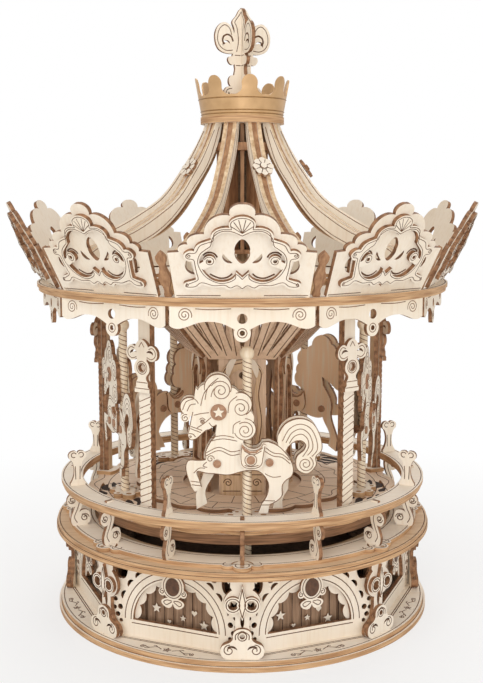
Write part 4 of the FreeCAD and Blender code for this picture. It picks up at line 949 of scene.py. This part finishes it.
@dataclass
class Riders:
    """The horses on their twisted poles."""

    finishes: Finishes
    count: int = 5
    circle_r: float = 67.0
    hoof_z: float = 68.0
    skin: float = 4.3
    flap: float = 5.8
    travel: float = 9.0
    pole_r: float = 2.25
    foot: float = 40.4
    knob: float = 147.0
    knob_r: float = 3.5
    groove: float = 0.4
    groove_sharpness: int = 6
    pitch: float = 2.35
    crease: float = 50.0
    pole_corners: int = 24
    pole_steps: int = 320
    thread_r: float = 0.24
    thread_sink: float = 0.6
    thread_steps: int = 14
    rosette: Point = (-14.0, 50.8)
    rosette_r: float = 4.0
    rosette_rise: float = 0.7
    badge_r: float = 2.9
    badge_rise: float = 0.4
    boss: Point = (1.6, 27.2)
    boss_r: float = 2.1
    boss_rise: float = 0.6
    saddle_rise: float = 0.3
    dowels: tuple[Point, Point] = ((-14.8, 25.2), (10.8, 25.6))
    dowel_r: float = 1.95
    dowel_lift: float = 0.6
    dowel_rise: float = 0.25
    trunk: Stroke = field(default_factory=lambda: [
        (-22.1, 40.2), (-24.9, 37.8), (-27.5, 37.3), (-28.9, 39.4), (-28.2, 42.5), (-27.2, 47.5),
        (-26.4, 51)])
    legs: Stroke = field(default_factory=lambda: [
        (10.6, 35.8), (14, 34.4), (17.1, 32), (20.9, 27.1), (22.5, 22.2), (21.6, 18.6), (18.5, 16.2),
        (17.0, 13.5), (17.1, 9.2), (14.8, 6.4), (10.9, 4.3)])
    belly: Stroke = field(default_factory=lambda: [
        (7.3, 5.2), (9.4, 8.6), (10.3, 12), (10.2, 15.4), (8.2, 19), (4.5, 21.6), (-2, 21.4),
        (-9, 19.6), (-15.5, 20.2), (-20, 20.6), (-24.6, 21.4), (-23.4, 17), (-22.4, 13.6)])
    breast: Stroke = field(default_factory=lambda: [
        (-27.6, 14.2), (-29.2, 19), (-30, 23.6), (-28.6, 27), (-24.5, 27), (-20.4, 27.4), (-20.4, 31),
        (-18, 36), (-15.6, 39.5), (-19, 42.2), (-22.1, 40.2)])
    tail: Stroke = field(default_factory=lambda: [
        (15.2, 39.8), (18.5, 44.8), (25.1, 47.3), (31.6, 45.2), (35.4, 38.8), (36.4, 32), (33.4, 28.2),
        (33.6, 24), (29.6, 19.8), (24.8, 21.6), (23.6, 25.6), (24.6, 29), (27.6, 31.6), (28.4, 34.4),
        (26, 36.4), (22.4, 35.6), (19.6, 33)])

    def rise(self, index: int) -> float:
        """Height at which the wave track holds a rider at rest, in millimetres."""
        azimuth = math.radians(360.0 / self.count * index)
        return self.travel / 2 * (1 - math.cos(2 * azimuth))

    def azimuth(self, index: int) -> float:
        """Degrees from the front at which a rider stands."""
        return 360.0 / self.count * index + RIDE_TURN

    def seat(self, index: int, side: float) -> Seat:
        """Seat of a drawing on one face of a horse."""
        return Seat(PlateLie.OUTWARD, self.circle_r, self.hoof_z + self.rise(index), 0.0, side)

    def pole(self, index: int) -> None:
        """Model one twisted pole with its knob and the dark lines in its grooves.

        Args:
            index: Which rider, from 0.
        """
        clear_selection()
        bpy.ops.mesh.primitive_circle_add(vertices=self.pole_corners, radius=self.pole_r, location=(0, 0, 0))
        shaft = bpy.context.object
        for vertex in shaft.data.vertices:
            angle = math.atan2(vertex.co.y, vertex.co.x)
            depth = self.groove * max(0.0, math.cos(2 * angle)) ** self.groove_sharpness
            vertex.co *= 1.0 - depth / self.pole_r
        length = self.knob - self.foot
        turns = length / (2 * self.pitch)
        twist = shaft.modifiers.new("twist", "SCREW")
        twist.axis = "Z"
        twist.angle = -2 * math.pi * turns
        twist.screw_offset = length
        twist.steps = self.pole_steps
        twist.render_steps = self.pole_steps
        twist.use_normal_calculate = True
        bpy.ops.object.modifier_apply(modifier="twist")
        bpy.ops.object.mode_set(mode="EDIT")
        bpy.ops.mesh.select_mode(type="EDGE")
        bpy.ops.mesh.select_all(action="DESELECT")
        bpy.ops.mesh.select_non_manifold()
        bpy.ops.mesh.edge_face_add()
        bpy.ops.mesh.select_all(action="SELECT")
        bpy.ops.mesh.normals_make_consistent(inside=False)
        bpy.ops.object.mode_set(mode="OBJECT")
        clear_selection()
        bpy.ops.mesh.primitive_uv_sphere_add(segments=28, ring_count=16, radius=self.knob_r,
                                             location=(0, 0, length))
        bpy.ops.object.transform_apply(location=True, rotation=True, scale=True)
        shaft = merge([shaft, bpy.context.object])
        bpy.ops.object.shade_smooth_by_angle(angle=math.radians(self.crease))
        stand = Matrix.Translation((0, -self.circle_r, self.foot + self.rise(index)))
        place = Matrix.Scale(MM, 4) @ (Matrix.Rotation(math.radians(self.azimuth(index)), 4, "Z") @ stand)
        shaft.data.transform(place)
        piece = hand_over(shaft, f"twisted_pole_{index + 1}", f"horse_{index + 1}", self.finishes.pole)
        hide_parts(f"horse_pole_{index + 1}")
        reach = self.pole_r - self.groove * self.thread_sink
        thread = self.helix(reach, length - self.knob_r, -turns * (length - self.knob_r) / length)
        thread.data.transform(place)
        hand_over(thread, f"pole_thread_{index + 1}", f"horse_{index + 1}", self.finishes.fine)

    def helix(self, radius: float, length: float, turns: float) -> bpy.types.Object:
        """Wind two thin dark threads into a pole's grooves.

        Args:
            radius: Radius at which they lie, in millimetres.
            length: Height that they climb.
            turns: Turns over that height, negative the other way round.

        Returns:
            The threads as one mesh.
        """
        curve = bpy.data.curves.new("thread", "CURVE")
        curve.dimensions = "3D"
        curve.bevel_depth = self.thread_r
        curve.bevel_resolution = 0
        steps = int(abs(turns) * self.thread_steps)
        for start in (0.0, math.pi):
            spline = curve.splines.new("POLY")
            spline.points.add(steps)
            for k, point in enumerate(spline.points):
                angle = start + 2 * math.pi * turns * k / steps
                point.co = (radius * math.cos(angle), radius * math.sin(angle), length * k / steps, 1.0)
        return meshed(curve)

    def figure_lines(self) -> list[Stroke]:
        """Strokes that draw a horse on its outer face.

        Returns:
            The strokes in millimetres.
        """
        mane = [spiral((-12.9, 61.2), 5.2, 0.7, 150, -2.1), spiral((-3.2, 52.6), 4.6, 0.6, 120, -1.9),
                spiral((-1.1, 41.6), 4.4, 0.6, 130, -1.9), spiral((-30.1, 48.0), 1.9, 0.4, 60, 1.4),
                ring((-14.3, 62.9), 6.5, -20, 190), ring((-3.6, 54.6), 5.8, -60, 110),
                ring((-1.2, 42.2), 5.3, -160, 90), ring((-28.0, 53.6), 4.5, 20, 230),
                smooth([(-20.5, 57), (-19.0, 63), (-14, 67.6)]),
                smooth([(-9.4, 50.4), (-8.6, 55.4), (-5, 58.6)]),
                smooth([(-7.0, 40), (-6.6, 44.4), (-3.4, 46.4)]),
                smooth([(-31.4, 52), (-29.6, 56), (-26, 57.4)]),
                smooth([(-29.2, 51.4), (-27.6, 54.4), (-25, 55)]),
                smooth([(-22.6, 54), (-21, 60), (-17.6, 64.4)]),
                smooth([(-17.6, 58.4), (-16.6, 61.6), (-14, 64)])]
        face = [ring((-21.8, 46.2), 0.9, steps=12), ring((-21.8, 46.2), 0.4, steps=8),
                smooth([(-23.2, 47.3), (-21.8, 48.0), (-20.4, 47.0)]), ring((-27.6, 38.8), 0.4, steps=8),
                smooth([(-28.4, 40.4), (-26.4, 40.0), (-25.2, 38.6)]), [(-27.6, 42.8), (-22.6, 40.8)],
                [(-27.4, 43.9), (-22.0, 41.9)], smooth([(-24.4, 43.2), (-21.2, 45.2), (-17.6, 48.2)]),
                smooth([(-26.0, 49.4), (-22.4, 50.2), (-18.6, 50.6)]),
                smooth([(-18.6, 45.6), (-17.0, 43.8), (-15.0, 44.6)])]
        tack = [smooth([(-20.2, 30.6), (-14, 33.4), (-8, 31.2), (-3.6, 31.8)]),
                smooth([(-20.4, 29.0), (-14, 31.8), (-8, 29.4), (-3.8, 30)]),
                smooth([(-18.4, 36.4), (-12, 37.6), (-5, 36.4)]),
                smooth([(-17.6, 38.2), (-12, 39.2), (-6.4, 38.2)]),
                smooth([(9, 33), (12.6, 30.4), (17, 29.6), (20.6, 26.6)]),
                smooth([(8.6, 31.2), (12.6, 28.8), (17, 28), (20.9, 24.8)]),
                spiral((-18.0, 27.6), 1.9, 0.4, 0, 1.3),
                smooth([(-19.8, 26.2), (-21.6, 24.2), (-19.6, 23.4)])]
        hair = [smooth([(17.0, 36.2), (20.4, 42.2), (25.6, 44.6), (30.6, 42.6), (33.4, 37.6), (34.2, 32),
                        (31.6, 28.4)]),
                smooth([(18.8, 35.4), (21.6, 40.2), (26.0, 42.2), (29.8, 40), (31.6, 36), (31.8, 32.2),
                        (29.4, 29)]),
                smooth([(20.4, 35.0), (22.8, 38.4), (26.4, 39.6), (29.2, 37.4), (30, 34.2), (29.2, 31.6),
                        (27, 28.4)]),
                spiral((28.5, 24.6), 4.0, 0.6, 60, -2.0)]
        shanks = [[(6.8, 4.2), (10.8, 4.2)], [(7.8, 6.4), (13.6, 6.2)], [(-27.2, 14.8), (-22.8, 14.2)],
                  [(-27.8, 16.6), (-23.4, 16.0)], smooth([(8.6, 20), (12.4, 18.2), (16.4, 18.6)]),
                  smooth([(-26.2, 20.6), (-23.6, 23), (-20.6, 23)])]
        contour = [smooth(line) for line in (self.trunk, self.tail, self.legs, self.belly, self.breast)]
        return mane + face + tack + hair + shanks + contour

    def studs(self, index: int, points: Stroke, height: float, lift: float) -> list[bpy.types.Object]:
        """Saw the same small plate for the outer and the inner face of a horse.

        Args:
            index: Which rider, from 0.
            points: Corners of the plate's outline.
            height: Thickness of the plate.
            lift: How far from the middle of the horse its back lies.

        Returns:
            The two plates.
        """
        return [cut_plate(points, height, self.seat(index, lift)),
                cut_plate(points, height, self.seat(index, -lift - height))]

    def trappings(self, index: int) -> None:
        """Draw one horse on its outer face and add its rosettes, dowel caps and saddle trim.

        Args:
            index: Which rider, from 0.
        """
        body, turn = f"horse_{index + 1}", [self.azimuth(index)]
        pieces = [engrave(self.figure_lines(), self.seat(index, self.skin), FINE_LINE, FINE_RELIEF)]
        flap = [smooth([(-2.6, 34.6), (-3.2, 30), (-2.8, 25.4), (-0.8, 23.4), (4, 23.2), (6.8, 25),
                        (7.6, 29), (8.4, 34)]),
                smooth([(-1.6, 31.8), (2.6, 29.9), (6.8, 31.8)]),
                smooth([(-2.4, 33.6), (2.6, 30.9), (7.6, 33.4)]), ring(self.boss, 2.9),
                smooth([(-1.4, 24.6), (2.0, 23.9), (5.4, 24.6)])]
        pieces.append(engrave(flap, self.seat(index, self.flap), FINE_LINE, FINE_RELIEF))
        hand_over(spread(merge(pieces), turn), f"horse_lines_{index + 1}", body, self.finishes.fine)
        disc = oval(self.rosette, self.rosette_r, self.rosette_r)
        caps = [cut_plate(disc, self.rosette_rise, self.seat(index, self.skin))]
        caps += self.studs(index, oval(self.boss, self.boss_r, self.boss_r), self.boss_rise, self.flap)
        for dowel in self.dowels:
            end = oval(dowel, self.dowel_r, self.dowel_r)
            caps += self.studs(index, end, self.dowel_rise, self.skin + self.dowel_lift)
        seat_top = [(-2.6, 34.9), (-1.0, 33.0), (1.2, 31.6), (4.0, 31.6), (6.2, 33.2), (7.6, 35.0),
                    (6.6, 33.0), (4.4, 30.8), (1.0, 30.7), (-1.8, 32.2), (-3.0, 34.0)]
        caps += self.studs(index, seat_top, self.saddle_rise, self.flap)
        hand_over(spread(merge(caps), turn), f"horse_caps_{index + 1}", body, self.finishes.dowel)
        top = self.seat(index, self.skin + self.rosette_rise)
        badge = cut_plate(star(self.rosette, self.badge_r), self.badge_rise, top)
        hand_over(spread(badge, turn), f"horse_stars_{index + 1}", body, self.finishes.figure)

    def dress(self) -> None:
        """Give the riders' CAD nodes their finishes and build their poles and trappings."""
        for index in range(self.count):
            dress(self.finishes.figure, f"horse_{index + 1}")
            self.pole(index)
            self.trappings(index)


@dataclass
class Roof:
    """The canopy: rims, valance, cornice, ribs, crown and finial."""

    finishes: Finishes
    bays: int = 10
    valance_face: float = 103.5
    cornice_r: float = 103.0
    cornice_foot: float = 178.667
    cornice_tilt: float = 25.7
    rib_side: float = 3.5
    ring_z: float = 177.8
    crown_foot: Pair = (263.5, 21.6)
    crown_slope: float = 0.18
    finial_turn: float = 22.0
    flower_foot: Pair = (33.5, 236.5)
    flower_tilt: float = -35.6
    flower_rise: float = 1.5
    petal_span: Pair = (1.9, 4.3)
    bead_rises: tuple[float, ...] = (1.2, 2.8, 9.0)
    bead_sink: float = 0.05
    bead_relief: float = 0.35
    bead_width: float = 0.7
    bead_steps: int = 96
    frame_rise: float = 4.0
    panel_rise: float = 2.0

    def dress(self) -> None:
        """Give the roof's CAD nodes their finishes and draw its lines."""
        f = self.finishes
        dress(f.level, "roof_rings", "crown_plates")
        dress(f.outward, "valance_panels", "cornice_panels", "cornice_frames", "rib_flowers")
        dress(f.radial, "finial_plates")
        dress(f.rib, "rib_cheeks")
        dress(f.toasted, "roof_hub", "corner_fins", "rib_cores")
        dress(f.gilt, "crown_band")
        self.valance()
        self.cornice()
        self.ribs()
        self.crown()
        self.finial()

    def valance(self) -> None:
        """Draw the valance's end spirals and the rings of its pendant."""
        lines = flipped([spiral((25.8, 169.8), 3.3, 0.4, 200, -2.2), ring((0, 161.6), 2.1, -90, 90),
                         smooth([(5.0, 172.6), (14.0, 172.2), (21.0, 172.6)])])
        piece = spread(engrave(lines, Seat(PlateLie.OUTWARD, self.valance_face), FINE_LINE),
                       around(self.bays))
        hand_over(piece, "valance_lines", "carousel", self.finishes.fine)

    def cornice_seat(self, rise: float) -> Seat:
        """Seat of a drawing on the tilted cornice, on its panels or on the frames before them."""
        return Seat(PlateLie.OUTWARD, self.cornice_r, self.cornice_foot, self.cornice_tilt, rise)

    def cornice(self) -> None:
        """Draw the cartouches' borders, shells and curls, and paint shade as dark crescents in the hollows
        behind them.
        """
        border = [(0, 5.7), (2.4, 7.3), (5.2, 6.1), (7.8, 7.5), (12.6, 7.3), (17.8, 8.8), (20.6, 6.8),
                  (24.2, 6.6), (24.6, 7.6), (21.6, 8.9), (19.3, 10.4), (19.8, 13.4), (20.4, 16.8),
                  (21.0, 20.1), (23.6, 20.8), (24.4, 22.1), (23.2, 23.4), (20.2, 23.6), (18.2, 27.0),
                  (14.6, 28.6), (12.6, 29.4), (11.9, 32.9), (9.0, 34.7), (4.6, 34.8)]
        rim = [(0, 10.4), (2.6, 13.0), (3.2, 10.6), (6.2, 8.9), (10.1, 8.5), (15.0, 10.9), (17.9, 14.5),
               (19.3, 18.8), (18.3, 22.8), (15.5, 25.4), (13.6, 27.0), (12.7, 30.8), (9.3, 33.7),
               (4.7, 33.9), (0, 31.8)]
        shell = [[(0, 33.0), (5.6 * math.sin(a), 34.0 + 5.6 * math.cos(a))]
                 for a in (math.radians(16 + 24 * k) for k in range(3))]
        scrolls = [smooth(border, 4), smooth(rim, 4), spiral((14.2, 19.4), 2.3, 1.2, 20, 1.1),
                   spiral((23.0, 22.2), 1.0, 0.2, 90, -1.2), spiral((24.0, 7.6), 0.8, 0.2, 90, -1.0), *shell,
                   smooth([(4.6, 34.8), (4.8, 37.9), (2.6, 39.7), (0, 40.2)])]
        face = engrave(flipped(scrolls), self.cornice_seat(self.frame_rise), HAIR_LINE)
        # Painted shade: dark crescents and strokes on the back panel where the cartouche's openings fall into
        # shadow.
        hollow_shade = flipped([ring((14.2, 19.4), 3.4, 35, 165),
                           smooth([(4.4, 12.2), (6.6, 10.4), (10.0, 10.0), (14.2, 12.0)]),
                           smooth([(13.6, 26.2), (12.6, 29.6), (9.4, 32.4), (5.0, 32.6)]),
                           smooth([(17.0, 15.6), (17.6, 14.9)])])
        seat = self.cornice_seat(self.panel_rise)
        back = [engrave(hollow_shade, seat, HOLLOW_SHADE_LINE),
                engrave(flipped([[(9.6, 1.0), (29.2, 1.0)]]), seat, FINE_LINE)]
        piece = spread(merge([face] + back), around(self.bays))
        hand_over(piece, "cornice_lines", "carousel", self.finishes.burnt)
        seams = [hoop(r, z, SEAM_RELIEF) for z, r in ((175.8, 109.0), (self.ring_z, 108.5))]
        hand_over(merge(seams), "roof_rim_lines", "carousel", self.finishes.burnt)

    def ribs(self) -> None:
        """Draw a border on both cheeks of every rib and the petals of the flowers."""
        outer = smooth([(20.4, 256.4), (26.7, 243.6), (32.2, 235.0), (42.2, 221.6), (54.8, 212.4),
                        (69.6, 204.2), (89.2, 197.2), (93.4, 192.4), (92.8, 180.0)])
        inner = smooth([(17.4, 258.0), (23.8, 240.6), (32.0, 228.8), (44.7, 213.5), (56.6, 204.1),
                        (70.2, 197.8), (80.6, 194.8), (85.8, 186.4), (86.2, 180.0)])
        sides = (self.rib_side, -self.rib_side)
        pieces = [engrave([outer, inner], Seat(PlateLie.RADIAL, side), FINE_LINE) for side in sides]
        piece = spread(merge(pieces), around(self.bays, 180.0 / self.bays))
        hand_over(piece, "rib_lines", "carousel", self.finishes.fine)
        radius, foot = self.flower_foot
        petals = [[turned((0, 0), r, math.radians(a)) for r in self.petal_span] for a in around(8, 22.5)]
        petals.append(ring((0, 0), self.petal_span[0]))
        seat = Seat(PlateLie.OUTWARD, radius, foot, self.flower_tilt, self.flower_rise)
        bloom = engrave(petals, seat, FINE_LINE)
        hand_over(spread(bloom, around(self.bays // 2, 180.0 / self.bays)), "flower_lines", "carousel",
                  self.finishes.burnt)

    def crown(self) -> None:
        """Run two fine beads round the foot of the crown and one round its waist."""
        foot, radius = self.crown_foot
        beads = []
        for rise in self.bead_rises:
            at = radius + self.crown_slope * rise - self.bead_sink
            beads.append(hoop(at, foot + rise, self.bead_relief, self.bead_width, self.bead_steps))
        hand_over(merge(beads), "crown_beads", "carousel", self.finishes.gilt_dark)

    def finial(self) -> None:
        """Draw the petals of the lily on both faces of its crossed plates."""
        petal = [smooth([(3.6, 297.4), (2.6, 303), (3.4, 309.6), (4.6, 312.4), (2.6, 315.4), (0.6, 318.4)]),
                 smooth([(5.8, 298.2), (9.4, 297.9), (12.6, 299.6), (14.3, 303.2), (13.4, 308.2),
                         (10.4, 310.8), (7.6, 309.2), (6.4, 306.0)]),
                 [(4.6, 295.6), (1.4, 295.6)], [(4.0, 290.4), (1.4, 290.4)],
                 smooth([(4.4, 270.4), (8.0, 271.6), (9.8, 274.8), (8.8, 277.8), (6.2, 278.6)])]
        curl = [smooth([(5.6, 302.6), (6.6, 305.0), (8.8, 306.0), (11.0, 304.8), (11.4, 302.4),
                        (10.2, 301.2)])]
        plates = []
        for side in (HALF_SHEET, -HALF_SHEET):
            seat = Seat(PlateLie.RADIAL, side)
            plates += [engrave(flipped(petal), seat, FINE_LINE), engrave(flipped(curl), seat, BOLD_LINE)]
        piece = spread(merge(plates), [self.finial_turn, self.finial_turn + 90.0])
        hand_over(piece, "finial_lines", "carousel", self.finishes.burnt)


@dataclass
class Studio:
    """Pale floor, soft light and the camera."""

    camera_place: tuple[float, float, float] = (0.0, -0.56077, 0.22306)
    camera_pitch: float = 81.89
    lens: float = 54.35
    sensor: float = 36.0
    shift: float = -0.8 / 683
    near: float = 0.01
    sky_colour: tuple[float, float, float, float] = (1.0, 0.985, 0.96, 1.0)
    sky_strength: float = 0.5
    floor_r: float = 3.0
    floor_drop: float = 0.0002
    floor_colour: tuple[float, float, float, float] = (0.86, 0.85, 0.84, 1.0)
    fade_span: Pair = (0.11, 0.36)
    fade_least: float = 0.66
    aim: tuple[float, float, float] = (0.0, 0.0, 0.15)
    lamps: list[tuple[str, tuple[float, float, float], float, float]] = field(default_factory=lambda: [
        ("key", (-0.55, -0.95, 0.95), 0.9, 4.9),
        ("fill", (0.8, -0.9, 0.45), 0.9, 2.4),
        ("front", (0.0, -1.3, 0.25), 0.5, 4.2),
        ("back", (0.2, 0.9, 0.9), 0.9, 5.0)])

    @staticmethod
    def seen_rays(tree: bpy.types.NodeTree) -> bpy.types.NodeSocket:
        """Add a value that is 1 for rays that show the background itself.

        Args:
            tree: The node tree to add it to.

        Returns:
            The value's socket.
        """
        path = tree.nodes.new("ShaderNodeLightPath")
        value = path.outputs["Is Camera Ray"]
        for name in ("Is Glossy Ray", "Is Transmission Ray"):
            either = tree.nodes.new("ShaderNodeMath")
            either.operation = "MAXIMUM"
            tree.links.new(value, either.inputs[0])
            tree.links.new(path.outputs[name], either.inputs[1])
            value = either.outputs[0]
        return value

    def backdrop(self) -> None:
        """Make the white world that also lights the object softly."""
        world = bpy.data.worlds.new("studio")
        bpy.context.scene.world = world
        world.use_nodes = True
        tree = world.node_tree
        tree.nodes.clear()
        soft = tree.nodes.new("ShaderNodeBackground")
        soft.inputs["Color"].default_value = self.sky_colour
        soft.inputs["Strength"].default_value = self.sky_strength
        white = tree.nodes.new("ShaderNodeBackground")
        white.inputs["Color"].default_value = (1.0, 1.0, 1.0, 1.0)
        white.inputs["Strength"].default_value = 1.0
        choice = tree.nodes.new("ShaderNodeMixShader")
        tree.links.new(self.seen_rays(tree), choice.inputs[0])
        tree.links.new(soft.outputs[0], choice.inputs[1])
        tree.links.new(white.outputs[0], choice.inputs[2])
        output = tree.nodes.new("ShaderNodeOutputWorld")
        tree.links.new(choice.outputs[0], output.inputs["Surface"])

    def floor(self) -> None:
        """Lay a round pale floor that shows white with the object's soft shadow."""
        clear_selection()
        bpy.ops.mesh.primitive_circle_add(vertices=96, radius=self.floor_r, fill_type="NGON",
                                          location=(0, 0, -self.floor_drop))
        ground = bpy.context.object
        ground.name = "studio_floor"
        material = bpy.data.materials.new("floor_white")
        material.use_nodes = True
        tree = material.node_tree
        tree.nodes.clear()
        matte = tree.nodes.new("ShaderNodeBsdfDiffuse")
        matte.inputs["Color"].default_value = self.floor_colour
        glow = tree.nodes.new("ShaderNodeEmission")
        glow.inputs["Strength"].default_value = 1.0
        place = tree.nodes.new("ShaderNodeTexCoord")
        reach = tree.nodes.new("ShaderNodeVectorMath")
        reach.operation = "LENGTH"
        tree.links.new(place.outputs["Object"], reach.inputs[0])
        fade = tree.nodes.new("ShaderNodeMapRange")
        fade.inputs["From Min"].default_value = self.fade_span[0]
        fade.inputs["From Max"].default_value = self.fade_span[1]
        fade.inputs["To Min"].default_value = self.fade_least
        fade.inputs["To Max"].default_value = 1.0
        tree.links.new(reach.outputs["Value"], fade.inputs["Value"])
        seen = tree.nodes.new("ShaderNodeMath")
        seen.operation = "MULTIPLY"
        tree.links.new(fade.outputs["Result"], seen.inputs[1])
        tree.links.new(self.seen_rays(tree), seen.inputs[0])
        choice = tree.nodes.new("ShaderNodeMixShader")
        tree.links.new(seen.outputs[0], choice.inputs[0])
        tree.links.new(matte.outputs[0], choice.inputs[1])
        tree.links.new(glow.outputs[0], choice.inputs[2])
        output = tree.nodes.new("ShaderNodeOutputMaterial")
        tree.links.new(choice.outputs[0], output.inputs["Surface"])
        ground.data.materials.append(material)

    def light(self) -> None:
        """Hang soft lamps that look at the carousel."""
        target = Vector(self.aim)
        for name, place, size, power in self.lamps:
            lamp = bpy.data.lights.new(name, "AREA")
            lamp.size = size
            lamp.energy = power
            holder = bpy.data.objects.new(name, lamp)
            holder.location = place
            holder.rotation_euler = (target - Vector(place)).to_track_quat("-Z", "Y").to_euler()
            bpy.context.scene.collection.objects.link(holder)

    def camera(self) -> None:
        """Set up the camera at the photograph's angle."""
        data = bpy.data.cameras.new("camera")
        data.lens = self.lens
        data.sensor_width = self.sensor
        data.shift_x = self.shift
        data.clip_start = self.near
        holder = bpy.data.objects.new("camera", data)
        holder.location = self.camera_place
        holder.rotation_euler = (math.radians(self.camera_pitch), 0.0, 0.0)
        bpy.context.scene.collection.objects.link(holder)
        bpy.context.scene.camera = holder

    def build(self) -> None:
        """Build the whole studio."""
        self.backdrop()
        self.floor()
        self.light()
        self.camera()
        bpy.context.scene.view_settings.view_transform = "Standard"


def main() -> None:
    """Build the carousel's looks, assembly by assembly."""
    logging.basicConfig(level=logging.INFO, format="%(message)s")
    finishes = Finishes()
    for assembly in (Base, Movement, Turntable, Riders, Roof):
        assembly(finishes).dress()
    Studio().build()


if __name__ == "__main__":
    main()
